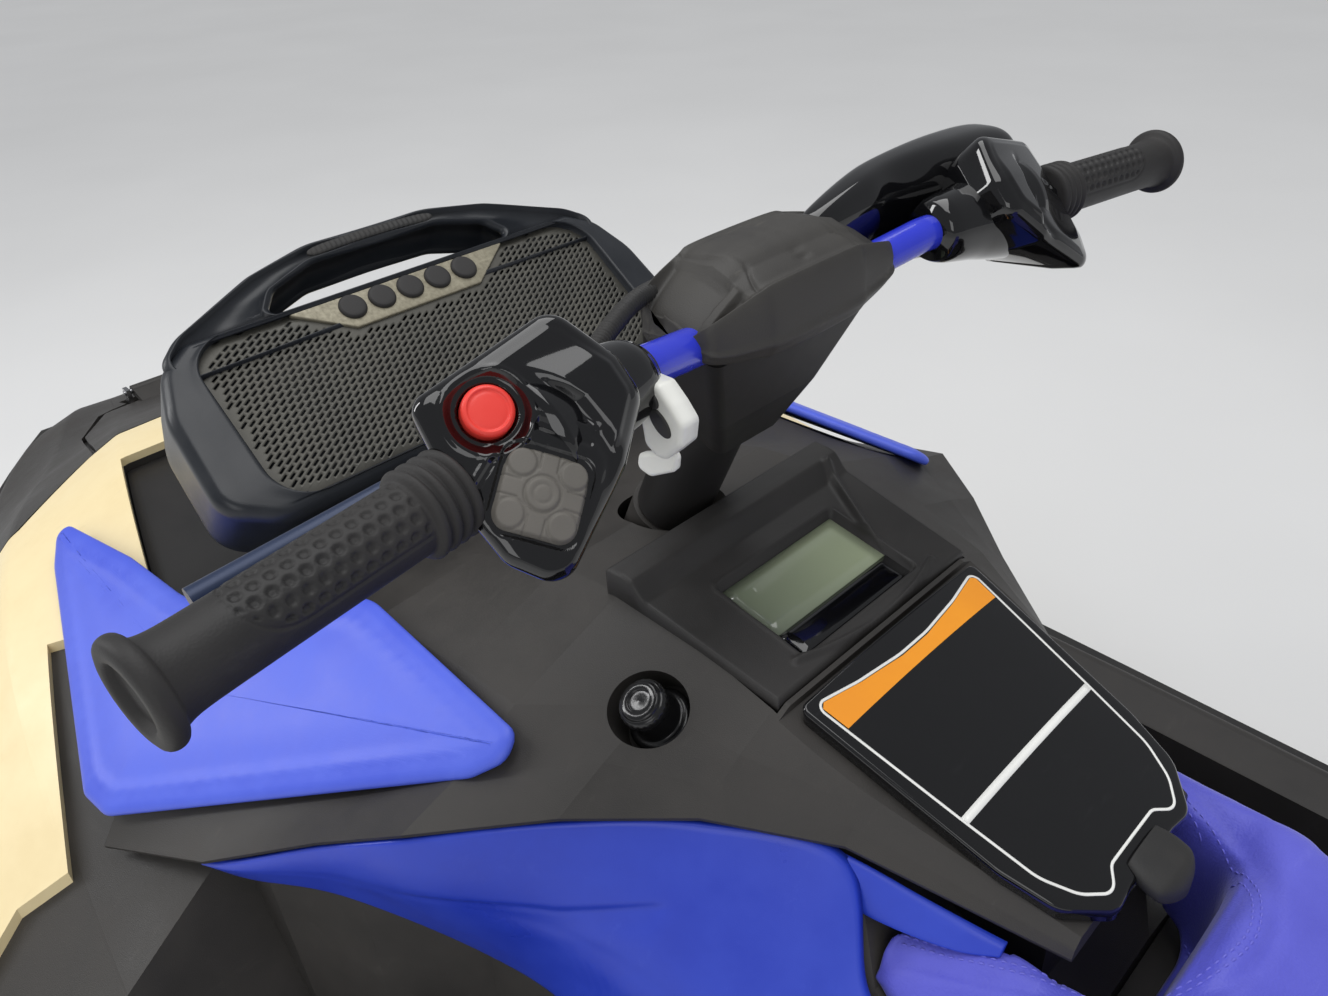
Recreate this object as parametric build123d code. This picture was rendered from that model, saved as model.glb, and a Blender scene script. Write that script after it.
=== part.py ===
from build123d import *
import os
from math import cos, radians, sin

os.makedirs("parts", exist_ok=True)

# Frame: X forward, Y to port, Z up, origin on the waterline amidships. Lengths in mm.

# Hull and rail
half_length = 1659
draft = 290
transom_x = -1480
bow_x = 1612
rail_height = 44
rail_proud = 15
rail_end_proud = 22
flange_drop = 14
skin = 8
fit_gap = 3
seat_gap = 1
lid_gap = 5

# Footwells, engine bay and seat base
footwell_floor_z = 52
footwell_inner_y = 246
footwell_outer_y = 462
footwell_rear_x = -960
footwell_front_x = 430
footwell_top_z = 900
tub_rim_z = 140
mat_thickness = 8
mat_margin = 14
engine_bay_x = (-640, 20)
engine_bay_half_width = 172
engine_bay_floor_z = -165
engine_bay_roof_z = 250
engine_size = (560, 310, 400)
seat_base_z = 385

# Jet drive
pump_axis_z = -140
pump_bore_r = 80
pump_wall = 11
impeller_clearance = 6
impeller_x = (-1378, -1294)
impeller_blades = 4
blade_thickness = 6
shaft_r = 14
shaft_clearance = 5
pump_x = (-1470, -1240)
nozzle_pivot_x = -1500
nozzle_length = 120
nozzle_wall = 8
bucket_pivot_x = -1520
bucket_arm_y = 116
bucket_pin_r = 8
bucket_wall = 12
ride_plate_z = -262
ride_plate_thickness = 10
ride_plate_rear_x = -1590
nozzle_exit_r = 45
nozzle_pin_r = 6
tunnel_half_width = 150
tunnel_roof_z = -28
intake_x = (-1020, -560)
intake_half_width = 88
grate_bar = 9
grate_pitch = 34
grate_depth = 14

# Handlebar
column_tilt_deg = 25
column_pivot = (332, 0, 700)
grip_end = (230, 389.5, 790)
bar_bend = (262, 121, 800)
bar_centre = (279, 0, 786)
tube_r = 11
stem_r = 20
neck_r = 26
sleeve_wall = 9
grip_r = 16.5
flange_r = 23
flange_thickness = 9
grip_length = 145
grip_ridges = 4
grip_ridge_pitch = 7
grip_ridge_width = 4
pad_half_width = 82
pod_depth = 52
cowl_inner_y = 58
button_r = 11.5
button_at = (33, 9)
keypad_side = 38
keypad_at = (32, 50)
keypad_turn_deg = 45
lever_r = 6
clip_y = (123, 137)
clip_drop = 56
conduit_r = 8

# Console, lids and instrument
console_wall = 8
glovebox_half_width = 50
glovebox_floor_z = 440
glovebox_x = (36, 168)
tub_wall = 3
lid_thickness = 11
lid_front = (184, 89, 603)
lid_rear = (16, 58, 540)
lid_barrel_r = 5
gauge_x = (196, 326)
gauge_half_width = 98
gauge_seat_z = 585
glass_size = (52, 116)
glass_centre = (252, 0, 616)
post_r = 12
post_recess_height = 56
post_at = (254, 136, 580)
wing_thickness = 12
wing_corner = (212, 587)
wing_slope = 0.722
lug_r = 21
lug_at = (556, 398)

# Speaker
speaker_centre = (655, 0, 681)
speaker_depth = 95
speaker_lean_deg = 54
speaker_button_r = 12
speaker_button_pitch = 28
grille_half_width = 194
grille_recess = 6

# Front lid and storage bin
bin_x = (1090, 1370)
bin_half_width = 150
bin_floor_z = 225
lid_hinge = (1468, 362)
hinge_pin_r = 4
hinge_knuckle_r = 8
hinge_clearance = 0.05

# Bow and stern eyes
eye_r = 12
eye_thickness = 12
bow_eye_at = (1600, 130)
tow_eye_at = (-1504, 15)

# Hull sections: x, keel, chine, sheer
hull_sections = [
    (transom_x, (0, -270), (515, -115), (586, 80)),
    (-600, (0, -draft), (530, -115), (611, 84)),
    (200, (0, -285), (500, -95), (609, 98)),
    (900, (0, -220), (400, -20), (540, 150)),
    (1350, (0, -70), (215, 100), (352, 215)),
    (bow_x, (0, 160), (52, 210), (128, 258)),
]

# Deck sections: x, gunwale, roll top, flat; the sheer comes from the hull
stern_x = -half_length + rail_end_proud
stern_sheer = (505, 78)
deck_sections = [
    (stern_x, (498, 98), (478, 132), (440, 138)),
    (transom_x, (580, 100), (540, 140), (470, 146)),
    (-600, (602, 108), (522, 172), (468, 168)),
    (200, (600, 122), (518, 204), (466, 196)),
    (900, (532, 168), (470, 215), (430, 215)),
    (1350, (344, 228), (310, 250), (280, 250)),
    (bow_x, (120, 264), (104, 272), (90, 272)),
]

# Upper body sections forward: x, lower edge, side, shoulder, crown, hood edge
body_sections = [
    (400, (596, 150), (588, 200), (545, 340), (440, 415), (320, 470)),
    (700, (572, 175), (562, 215), (512, 365), (395, 452), (270, 512)),
    (960, (508, 195), (500, 232), (436, 385), (320, 480), (200, 526)),
    (1150, (432, 222), (424, 255), (362, 352), (252, 430), (150, 464)),
    (1350, (330, 250), (322, 268), (280, 322), (184, 370), (100, 384)),
    (bow_x, (110, 272), (106, 280), (94, 290), (72, 298), (40, 300)),
]

# Side panels: x, foot of the console, low edge, crease, top edge
console_sections = [
    (60, 238, (222, 270), (186, 380), (146, 448)),
    (96, 239, (224, 290), (190, 395), (138, 476)),
    (131, 240, (226, 312), (196, 425), (114, 543)),
    (196, 244, (229, 356), (212, 462), (161, 555)),
    (253, 250, (231, 396), (234, 480), (215, 556)),
    (320, 262, (250, 408), (282, 494), (278, 543)),
    (378, 300, (302, 462), (310, 490), (308, 515)),
    (440, 325, (336, 456), (343, 470), (341, 479)),
    (470, 340, (350, 455), (354, 461), (354, 464)),
]

# Console cover: x, edge, side, lower shoulder, shoulder, ridge
cover_sections = [
    (16, (71, 513), (72, 516), (70, 522), (65, 528), (58, 534)),
    (131, (114, 545), (115, 548), (108, 557), (100, 566), (84, 580)),
    (196, (161, 557), (162, 560), (146, 571), (128, 583), (92, 600)),
    (253, (215, 558), (216, 561), (180, 577), (140, 592), (98, 610)),
    (320, (278, 545), (279, 548), (236, 562), (190, 586), (102, 618)),
    (378, (308, 517), (309, 520), (264, 534), (190, 582), (102, 612)),
    (465, (354, 467), (355, 470), (320, 494), (196, 578), (110, 584)),
    (571, (391, 427), (392, 430), (376, 452), (262, 534), (130, 552)),
]

# Rear of the console under the seat nose: x, foot, low edge, crease, top
console_rear = (10, (236, footwell_floor_z - skin), (200, 250), (126, seat_base_z), (60, 400))

# Front split of the hood fairing, and its opening round the console: x, y
hood_front_edge = [(1044, 0), (1044, 127), (1024, 215), (962, 309), (900, 640)]
hood_inner_edge = [(936, 0), (929, 209), (694, 276), (760, 350), (585, 418), (603, 455), (560, 640)]
speaker_bay = [(936, 0), (929, 209), (694, 276), (600, 276), (600, 0)]

# Wing panel outline in plan, with its corner radii
wing_outline = [(284, 208), (590, 400), (890, 290), (645, 266), (466, 196)]
wing_radii = [16, 30, 14, 60, 10]
wing_riser = [(380, 250), (470, 316), (590, 372), (700, 318), (620, 290), (470, 225)]

# Front lid outline in plan
lid_outline_points = [(1050, 0), (1050, 128), (1032, 205), (1330, 150), (1440, 92), (1452, 0)]
nose_split = [(1047, 0), (1047, 130), (1027, 217), (965, 312), (903, 640), (1800, 640), (1800, 0)]

# Seat base: x, foot, waist, top
seat_base_sections = [
    (9, (237, 40), (200, 250), (126, seat_base_z)),
    (-300, (237, 40), (208, 250), (150, seat_base_z)),
    (-1000, (237, 40), (215, 250), (178, seat_base_z)),
    (-1130, (230, 40), (205, 200), (180, 250)),
]

# Seat cushions: x, base, flank, top edge
front_seat_sections = [
    (136, (116, 440), (128, 470), (112, 492)),
    (100, (128, 425), (138, 480), (118, 506)),
    (30, (132, 405), (140, 474), (114, 514)),
    (-60, (138, seat_base_z), (146, 440), (116, 492)),
    (-180, (146, seat_base_z), (156, 436), (122, 470)),
    (-300, (156, seat_base_z), (170, 446), (134, 476)),
    (-420, (172, seat_base_z), (186, 462), (148, 502)),
]
rear_seat_sections = [
    (-424, (174, seat_base_z), (188, 480), (156, 560)),
    (-600, (180, seat_base_z), (192, 490), (160, 572)),
    (-900, (184, seat_base_z), (192, 484), (158, 566)),
    (-1000, (174, seat_base_z), (180, 460), (146, 530)),
]

# Sponson outline in plan, and its heights
sponson_outline = [(-1420, 490), (-1420, 588), (-860, 604), (-690, 560), (-690, 490)]
sponson_z = (-78, -30)

# Rear platform mat: x, half-width, height of the deck under it
platform_sections = [(-1610, 390, 139), (transom_x, 420, 146), (-1140, 430, 154)]

# Speaker outline in its own plane, starboard half: across, up
speaker_outline = [(0, -110), (200, -110), (237, -84), (232, 0), (214, 44), (120, 92), (60, 107), (0, 107)]
handle_gap_r = 7
handle_gap = [(0, 58), (118, 58), (104, 74), (60, 88), (0, 88)]
grille_outline = [(0, -102), (grille_half_width, -102), (grille_half_width, 50), (0, 50)]
control_strip = [(0, 16), (62, 16), (111, 50), (0, 50)]

# Control pod face in its own plane: outboard, down, corner radius
pod_outline = [
    (-16, -20, 12), (60, -10, 6), (63, 34, 10), (58, 68, 12), (46, 84, 8),
    (36, 86, 8), (-9, 57, 12), (-33, 33, 10), (-32, 13, 10),
]
# Pod sections: depth behind the face, shrink at the top, shrink at the foot
pod_sections = [(0, 3, 3), (6, 0, 0), (20, 2, 8), (pod_depth, 12, 34)]
# Starboard cowl in front of the bar: y, rear x, front x, low z, high z
cowl_sections = [(cowl_inner_y, 288, 310, 786, 824), (135, 286, 322, 768, 838), (235, 262, 318, 762, 840)]
# Collar round the bar where it enters a pod: y, radius
collar_sections = [(142, 22), (205, 32)]
# Handlebar pad: y, rear x, front x, low z, high z
pad_sections = [
    (-pad_half_width, 250, 308, 786, 816),
    (-30, 246, 316, 776, 828),
    (30, 246, 316, 776, 828),
    (pad_half_width, 250, 308, 786, 816),
]
# Steering neck along the column from its pivot: distance, half depth, half width
neck_sections = [(8, 33, 30), (44, 35, 48), (104, 32, 74)]


def ring(x, half, radii):
    """Closed section at x, mirrored about the centre plane; half runs keel to crown."""
    points = [(x, y, z) for y, z in half]
    mirrored = [(x, -y, z) for y, z in reversed(half) if y > 0]
    corner_radii = list(radii) + [r for (y, z), r in reversed(list(zip(half, radii))) if y > 0]
    return FilletPolyline(*points, *mirrored, radius=corner_radii, close=True)


def mirrored_loft(sections, radii, ruled=False):
    """Solid through sections given as (x, (y, z), (y, z), ...)."""
    return Solid.make_loft([ring(row[0], row[1:], radii) for row in sections], ruled)


def plan_prism(points, low, high):
    """Vertical prism over a plan outline of (x, y) points."""
    face = make_face(Polyline(*[(x, y, low) for x, y in points], close=True))
    return extrude(face, high - low, dir=(0, 0, 1))


def side_prism(points, y0, y1):
    """Prism across the craft between y0 and y1 over a side outline of (x, z) points."""
    face = make_face(Polyline(*[(x, y0, z) for x, z in points], close=True))
    return extrude(face, y1 - y0, dir=(0, 1, 0))


def both_sides(points):
    """Full plan outline from its port half, listed from one centre point to the other."""
    return list(points) + [(x, -y) for x, y in reversed(points) if y > 0]


def mirrored_face(half, radius):
    """Face over a half outline of (across, up) points, mirrored about its upright axis."""
    full = list(half) + [(-a, b) for a, b in reversed(half) if a > 0]
    corners = [p for p in full if p[0] != 0]
    return make_face(FilletPolyline(*corners, radius=radius, close=True))


def block(x0, x1, y0, y1, z0, z1):
    return Pos((x0 + x1) / 2, (y0 + y1) / 2, (z0 + z1) / 2) * Box(x1 - x0, y1 - y0, z1 - z0)


def to_starboard(shape):
    return mirror(shape, Plane.XZ)


def cylinder_between(start, end, radius):
    start, end = Vector(*start), Vector(*end)
    plane = Plane(origin=start, z_dir=end - start)
    return extrude(plane * Circle(radius), (end - start).length)


def along_x(x0, x1, radius, y=0, z=pump_axis_z):
    return cylinder_between((x0, y, z), (x1, y, z), radius)


def along_y(y0, y1, radius, x, z):
    return cylinder_between((x, y0, z), (x, y1, z), radius)


def section_wire(plane, face):
    return (plane * face).face().outer_wire()


def largest(shape):
    return max(shape.solids(), key=lambda s: s.volume)


def upper_body(offset=0):
    """Upper body shape forward; with an offset it is pulled in and runs past the ends."""
    rows = []
    for x, low, side, shoulder, crown, edge in body_sections:
        at_bow = x == bow_x
        at_rear = x == body_sections[0][0]
        down = offset / 3 if at_bow else offset
        end_shift = -offset if at_bow else -10 if offset and at_rear else 0
        rows.append((
            x + end_shift,
            (low[0] - offset, low[1] - (20 if offset else 0)),
            (side[0] - offset, side[1] - down / 2),
            (shoulder[0] - offset * 0.8, shoulder[1] - down * 0.7),
            (crown[0] - offset * 0.5, crown[1] - down * 0.9),
            (edge[0] - offset * 0.3, edge[1] - down),
        ))
    return mirrored_loft(rows, (0, 0, 34, 30, 24))


def footwell():
    """Port footwell space, with its toe end sloping up forward."""
    toe_x = footwell_front_x
    profile = [(footwell_rear_x, footwell_floor_z), (toe_x - 110, footwell_floor_z), (toe_x + 60, 470),
               (toe_x + 60, footwell_top_z), (footwell_rear_x, footwell_top_z)]
    return side_prism(profile, footwell_inner_y, footwell_outer_y)


def footwell_tub(top):
    outer = footwell_outer_y + skin
    return block(footwell_rear_x - skin, footwell_front_x, -outer, outer, footwell_floor_z - skin, top)


def engine_bay():
    x0, x1 = engine_bay_x
    w = engine_bay_half_width
    return block(x0, x1, -w, w, engine_bay_floor_z, engine_bay_roof_z)


def console_core():
    """Console under its cover and side panels, from the seat base to the toe wall."""
    inset = console_wall + 1
    rows = [console_rear]
    for x, foot, low, crease, top in console_sections[:-1]:
        rows.append((x, (foot, footwell_floor_z - skin), (low[0] - inset, low[1]), (crease[0] - inset, crease[1]),
                     (top[0] - inset - 1, top[1] - inset)))
    rows.append((600, *rows[-1][1:]))
    return mirrored_loft(rows, (0, 0, 0, 0), ruled=True)


def speaker_recess(grow=0):
    """Space over the speaker base, inside the lip of the hood fairing."""
    outline = [(x + grow if x > 600 else x, y + grow if y > 0 else 0) for x, y in speaker_bay]
    return plan_prism(both_sides(outline), 430, footwell_top_z)


def storage_bin(shrink=0):
    x0, x1 = bin_x
    w = bin_half_width - shrink
    return block(x0 + shrink, x1 - shrink, -w, w, bin_floor_z + shrink, 700)


def glovebox(shrink=0):
    x0, x1 = glovebox_x
    w = glovebox_half_width - shrink
    return block(x0 + shrink, x1 - shrink, -w, w, glovebox_floor_z + shrink, 700)


def intake_duct():
    x0, x1 = intake_x
    z, r = pump_axis_z, pump_bore_r
    profile = [(x0 - 240, z + r), (x0 + 60, z + r), (x1, -400), (x0, -400), (x0, z - r + 8), (x0 - 240, z - r)]
    return side_prism(profile, -intake_half_width, intake_half_width)


def pump_tunnel():
    w = tunnel_half_width
    return block(transom_x - 20, pump_x[1] + 4, -w, w, -400, tunnel_roof_z)


def make_hull():
    hull = mirrored_loft(hull_sections, (60, 14, 0))
    shaft_tunnel = along_x(intake_x[0], engine_bay_x[0] + 20, shaft_r + shaft_clearance)
    for opening in (footwell_tub(300), engine_bay(), pump_tunnel(), intake_duct(), shaft_tunnel, storage_bin()):
        hull -= opening
    return largest(hull)


def deck_shape():
    rows = []
    sheers = [stern_sheer] + [row[3] for row in hull_sections]
    for sheer, (x, gunwale, roll, flat) in zip(sheers, deck_sections):
        rows.append((x, (sheer[0] - 3, sheer[1] - flange_drop), gunwale, roll, flat))
    return mirrored_loft(rows, (0, 12, 16, 0))


def make_deck(hull):
    toe_wall = side_prism([(300, 120), (footwell_front_x, 215), (520, 520), (520, 700), (300, 700)], -700, 700)
    body = upper_body(skin) - toe_wall
    deck = deck_shape() + footwell_tub(tub_rim_z) + body
    well = footwell()
    for opening in (well, to_starboard(well), engine_bay(), storage_bin(), speaker_recess(), hull):
        deck -= opening
    return largest(deck)


def make_console_base(deck):
    return largest(console_core() - [deck, engine_bay(), glovebox(), speaker_recess()])


def make_seat_base(deck):
    base = mirrored_loft(seat_base_sections, (0, 30, 14), ruled=True)
    return largest(base - [deck, engine_bay()])


def make_storage_tub():
    rim = upper_body(skin + lid_gap)
    return largest((storage_bin() & rim) - storage_bin(tub_wall))


def lid_line(x):
    """Height of the glovebox lid's top face at x on the centre line."""
    slope = (lid_front[2] - lid_rear[2]) / (lid_front[0] - lid_rear[0])
    return lid_rear[2] + slope * (x - lid_rear[0])


def make_glovebox_tub():
    x0, x1 = glovebox_x
    w = glovebox_half_width
    drop = lid_thickness + fit_gap
    outline = [(x0, glovebox_floor_z), (x1, glovebox_floor_z), (x1, lid_line(x1) - drop), (x0, lid_line(x0) - drop)]
    return side_prism(outline, -w, w) - glovebox(tub_wall)


def make_hood_fairing():
    region = plan_prism(both_sides([(430, 0), (430, 640)] + hood_front_edge[::-1]), 100, 700)
    inner = plan_prism(both_sides(hood_inner_edge + [(380, 640), (380, 0)]), 300, 700)
    return largest((upper_body() & region) - [inner, upper_body(skin)])


def make_front_lid():
    x, z = lid_hinge
    lid = (upper_body() & plan_prism(both_sides(lid_outline_points), 200, 700)) - upper_body(skin)
    knuckle = along_y(-40, 40, hinge_knuckle_r, x, z)
    arm = side_prism([(x - 36, z - 10), (x, z - 6), (x, z + 6), (x - 36, z - 4)], -40, 40)
    pin_space = along_y(-60, 60, hinge_pin_r + hinge_clearance, x, z)
    return lid + (knuckle + arm - pin_space)


def make_nose_cover(deck):
    nose = upper_body() & plan_prism(both_sides(nose_split), 100, 700)
    front, corner, shoulder, side, nose_corner = lid_outline_points[:5]
    g = lid_gap
    x = lid_hinge[0]
    lid_space = both_sides([(front[0] - 10, 0), (corner[0] - 10, corner[1] + g), (shoulder[0] - 2, shoulder[1] + g),
                            (side[0], side[1] + g), (nose_corner[0], nose_corner[1] + 2 * g), (x - 8, 56),
                            (x + 28, 56), (x + 28, 0)])
    return largest(nose - [plan_prism(lid_space, 200, 700), upper_body(skin), deck])


def make_lid_pin(deck):
    x, z = lid_hinge
    pin = along_y(-52, 52, hinge_pin_r, x, z)
    for y in (-50, 44):
        pin += block(x - 8, x + 8, y, y + 6, z - 44, z + 6)
    return largest(pin - deck)


def rail_slab(grow, half_height, end_grow):
    """Slab along the sheer from bow to stern, as wide as the sheer plus grow."""
    rows = [(stern_x - end_grow, stern_sheer)] + [(row[0], row[3]) for row in hull_sections]
    rows[-1] = (bow_x + end_grow, rows[-1][1])
    return mirrored_loft([(x, (y + grow, z - half_height), (y + grow, z + half_height)) for x, (y, z) in rows],
                         (0, 0))


def make_bumper_rail(hull, deck):
    rail = rail_slab(rail_proud, rail_height / 2, rail_end_proud) - rail_slab(-1, rail_height, 8)
    return largest(rail - [hull, deck])


def make_side_panel():
    rows = []
    w = console_wall
    for x, foot, low, crease, top in console_sections:
        outline = [top, crease, low, (low[0] - w, low[1]), (crease[0] - w, crease[1]), (top[0] - w, top[1])]
        rows.append(Polyline(*[(x, y, z) for y, z in outline], close=True))
    return Solid.make_loft(rows, True)


def make_console_cover(inner_parts):
    cover = mirrored_loft(cover_sections, (0, 0, 6, 6, 6), ruled=True)
    for side in (1, -1):
        cover += along_y(side * 340, side * 392, lug_r, *lug_at)
        cover -= along_y(side * 382, side * 396, lug_r - 7, *lug_at)
    x0, x1 = gauge_x
    w = gauge_half_width + 1
    gauge_seat = block(x0 - fit_gap, x1, -w, w, gauge_seat_z, 700)
    rear_x, front_x = lid_rear[0] - 30, lid_front[0] + lid_barrel_r + 1
    drop = lid_thickness + 1
    lid_seat = side_prism([(front_x, lid_line(front_x) - drop), (rear_x, lid_line(rear_x) - drop),
                           (rear_x, 700), (front_x, 700)], -150, 150)
    pivot = Vector(*column_pivot)
    column_hole = cylinder_between(tuple(pivot - column_axis() * 230), tuple(pivot - column_axis() * 40),
                                   neck_r + 10)
    post_recess = post_plane() * Pos(0, 0, post_recess_height / 2 - 12) * Cylinder(24, post_recess_height)
    return largest(cover - [*inner_parts, glovebox(), gauge_seat, lid_seat, speaker_recess(-fit_gap), column_hole,
                            post_recess])


def glovebox_hinge():
    return (lid_front[0], lid_front[2] - lid_barrel_r - 1)


def make_glovebox_lid():
    fx, fy, fz = lid_front
    rx, ry, rz = lid_rear
    tip_x = rx - 22
    slab = side_prism([(fx, fz), (tip_x, lid_line(tip_x)), (tip_x, lid_line(tip_x) - lid_thickness + 2),
                       (fx, fz - lid_thickness)], -150, 150)
    lid = slab & plan_prism(both_sides([(fx, 0), (fx, fy), (rx, ry), (rx - 8, 22), (tip_x, 14), (tip_x, 0)]),
                            400, 700)
    return lid + along_y(4 - fy, fy - 4, lid_barrel_r, *glovebox_hinge())


def make_gauge_housing():
    x0, x1 = gauge_x
    w = gauge_half_width
    base = gauge_seat_z + fit_gap
    rows = [
        (x0, (w - 6, base), (w - 6, base + 15), (w - 16, base + 18)),
        (x0 + 60, (w, base), (w, base + 26), (w - 14, base + 32)),
        (x1, (w, base), (w, base + 36), (w - 14, base + 44)),
    ]
    housing = mirrored_loft(rows, (2, 6, 4), ruled=True)
    return housing - glass_plane() * Box(glass_size[0], glass_size[1], 16)


def glass_plane():
    return Plane(origin=glass_centre, z_dir=(-0.22, 0, 1))


def make_gauge_glass():
    return glass_plane() * Pos(0, 0, -6) * Box(glass_size[0] - 0.4, glass_size[1] - 0.4, 4)


def post_plane():
    return Plane(origin=post_at, z_dir=(0, 0.5, 0.86))


def make_key_post():
    post = post_plane() * Pos(0, 0, -4) * Cylinder(20, 14)
    return post + post_plane() * Pos(0, 0, 10) * Cylinder(post_r, 28)


def wing_slab(top, bottom):
    """Slab under the sloping wing plane, between two depths below it."""
    y, z = wing_corner
    inner, outer = y - 80, y + 240
    edge = [(inner, z + wing_slope * (y - inner) - top), (outer, z + wing_slope * (y - outer) - top),
            (outer, z + wing_slope * (y - outer) - bottom), (inner, z + wing_slope * (y - inner) - bottom)]
    face = make_face(Polyline(*[(200, a, b) for a, b in edge], close=True))
    return extrude(face, 800, dir=(1, 0, 0))


def make_wing_panel(others):
    outline = make_face(FilletPolyline(*[(x, y, 300) for x, y in wing_outline], radius=wing_radii, close=True))
    panel = extrude(outline, 400, dir=(0, 0, 1)) & wing_slab(0, wing_thickness)
    riser = plan_prism(wing_riser, 300, 700) & wing_slab(wing_thickness, wing_thickness + 26)
    return largest(panel + riser - others)


def make_speaker_base():
    return largest(upper_body(skin + 7) & speaker_recess(-1))


def speaker_plane(depth=0):
    """Speaker face plane, with x to starboard and y up the face; depth is measured behind it."""
    lean = radians(speaker_lean_deg)
    normal = (-cos(lean), 0, sin(lean))
    return Plane(origin=speaker_centre, x_dir=(0, -1, 0), z_dir=normal) * Pos(0, 0, -depth)


def make_speaker_body(base):
    # Sections behind the face: depth, scale across, scale up
    wires = []
    for depth, across, up in [(0, 0.955, 0.94), (12, 1, 1), (62, 1, 1), (speaker_depth, 0.9, 0.86)]:
        half = [(a * across, b * up) for a, b in speaker_outline]
        wires.append(section_wire(speaker_plane(depth), mirrored_face(half, 15)))
    body = Solid.make_loft(wires, True)
    body -= extrude(speaker_plane(speaker_depth + 2) * mirrored_face(handle_gap, handle_gap_r), speaker_depth + 4)
    body -= extrude(speaker_plane(speaker_depth + 2) * Pos(0, 92) * Rectangle(500, 80), speaker_depth - 46)
    body -= extrude(speaker_plane(grille_recess) * mirrored_face(grille_outline, 30), grille_recess + 4)
    foot = side_prism([(645, 480), (770, 480), (770, 640), (645, 560)], -110, 110)
    return largest(body + foot - base)


def make_speaker_grille():
    strip = extrude(speaker_plane(grille_recess) * mirrored_face(control_strip, 1), grille_recess)
    return largest(extrude(speaker_plane(grille_recess) * mirrored_face(grille_outline, 30), grille_recess - 1) - strip)


def make_control_strip():
    shape = extrude(speaker_plane(grille_recess) * mirrored_face(control_strip, 1), grille_recess)
    for k in range(-2, 3):
        button = speaker_plane(2) * Pos(k * speaker_button_pitch, 35) * Circle(speaker_button_r)
        shape += extrude(button, 5)
    grille_edge = extrude(speaker_plane(grille_recess + 1) * mirrored_face(grille_outline, 30), 20)
    return largest(shape & grille_edge)


def make_seat_front(others):
    seat = mirrored_loft(front_seat_sections, (4, 24, 20))
    rear, front = cover_sections[0], cover_sections[1]
    slope = (front[2][0] - rear[2][0]) / (front[0] - rear[0])
    rows = []
    for x in (rear[0] - 30, front[0] + 60):
        half = rear[2][0] + slope * (x - rear[0]) + seat_gap
        rows.append((x, (half, 400), (half, 700)))
    return largest(seat - [mirrored_loft(rows, (0, 0), ruled=True), *others])


def make_seat_rear():
    return mirrored_loft(rear_seat_sections, (4, 24, 24))


def make_grab_handle(seat_base):
    path = FilletPolyline((-1066, 150, 270), (-1110, 150, 470), (-1110, -150, 470), (-1066, -150, 270),
                          radius=[50, 50])
    return largest(sweep(Plane(origin=path @ 0, z_dir=path % 0) * Circle(14), path) - seat_base)


def make_footwell_mat():
    m = mat_margin
    return block(footwell_rear_x + m, footwell_front_x - 140, footwell_inner_y + m, footwell_outer_y - m,
                 footwell_floor_z, footwell_floor_z + mat_thickness)


def make_platform_mat(others):
    rows = [(x, (half, deck_z - 20), (half, deck_z + mat_thickness)) for x, half, deck_z in platform_sections]
    return largest(mirrored_loft(rows, (0, 0), ruled=True) - others)


def bar_point(y):
    """Point on the straight outer run of the bar."""
    gx, gy, gz = grip_end
    bx, by, bz = bar_bend
    t = (y - by) / (gy - by)
    return (bx + (gx - bx) * t, y, bz + (gz - bz) * t)


def make_bar_tube():
    tip = bar_point(grip_end[1] - 4)
    knee = (bar_centre[0], 40, bar_centre[2])
    left = [tip, bar_bend, knee]
    right = [(x, -y, z) for x, y, z in reversed(left)]
    path = FilletPolyline(*left, *right, radius=[60, 30, 30, 60])
    return sweep(Plane(origin=path @ 0, z_dir=path % 0) * Circle(tube_r), path)


def make_grip(pod):
    """Rubber grip, with its open end flange and the ridges beside the pod."""
    tip_y = grip_end[1]
    inner_y = tip_y - grip_length
    grip = cylinder_between(bar_point(tip_y), bar_point(inner_y), grip_r)
    grip += cylinder_between(bar_point(tip_y), bar_point(tip_y - flange_thickness), flange_r)
    for step in range(grip_ridges):
        y = inner_y + 1 + step * grip_ridge_pitch
        grip += cylinder_between(bar_point(y), bar_point(y + grip_ridge_width), grip_r + 4)
    tube_space = cylinder_between(bar_point(tip_y - 4), bar_point(inner_y), tube_r)
    end_hole = cylinder_between(bar_point(tip_y + 2), bar_point(tip_y - 3), grip_r - 3)
    return largest(grip - [tube_space, end_hole, pod])


def pod_plane():
    return Plane(origin=(249, 190, 834), x_dir=(0.185, 0.968, -0.167), z_dir=(-0.719, 0.25, 0.649))


def pod_wire(depth, top_shrink, foot_shrink):
    """Pod section behind its face, drawn in towards the middle and more at the foot."""
    mid_across, mid_down, reach = 14, 20, 60
    points = []
    for across, down, _ in pod_outline:
        share = max(0, min(1, (down - mid_down) / reach))
        scale = 1 - (top_shrink + (foot_shrink - top_shrink) * share) / reach
        points.append((mid_across + (across - mid_across) * scale, mid_down + (down - mid_down) * scale))
    corner_radii = [r * 0.6 for _, _, r in pod_outline]
    face = make_face(FilletPolyline(*points, radius=corner_radii, close=True))
    return section_wire(pod_plane() * Pos(0, 0, -depth), face)


def pod_shape():
    """Port control pod round the bar, with the collar where the bar enters it."""
    pod = Solid.make_loft([pod_wire(*row) for row in pod_sections], True)
    (y0, r0), (y1, r1) = collar_sections
    start, end = Vector(*bar_point(y0)), Vector(*bar_point(y1))
    plane = Plane(origin=start, z_dir=end - start)
    return pod + loft([plane * Circle(r0), plane.offset((end - start).length) * Circle(r1)])


def bar_space():
    return cylinder_between(bar_point(380), bar_point(100), tube_r)


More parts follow.
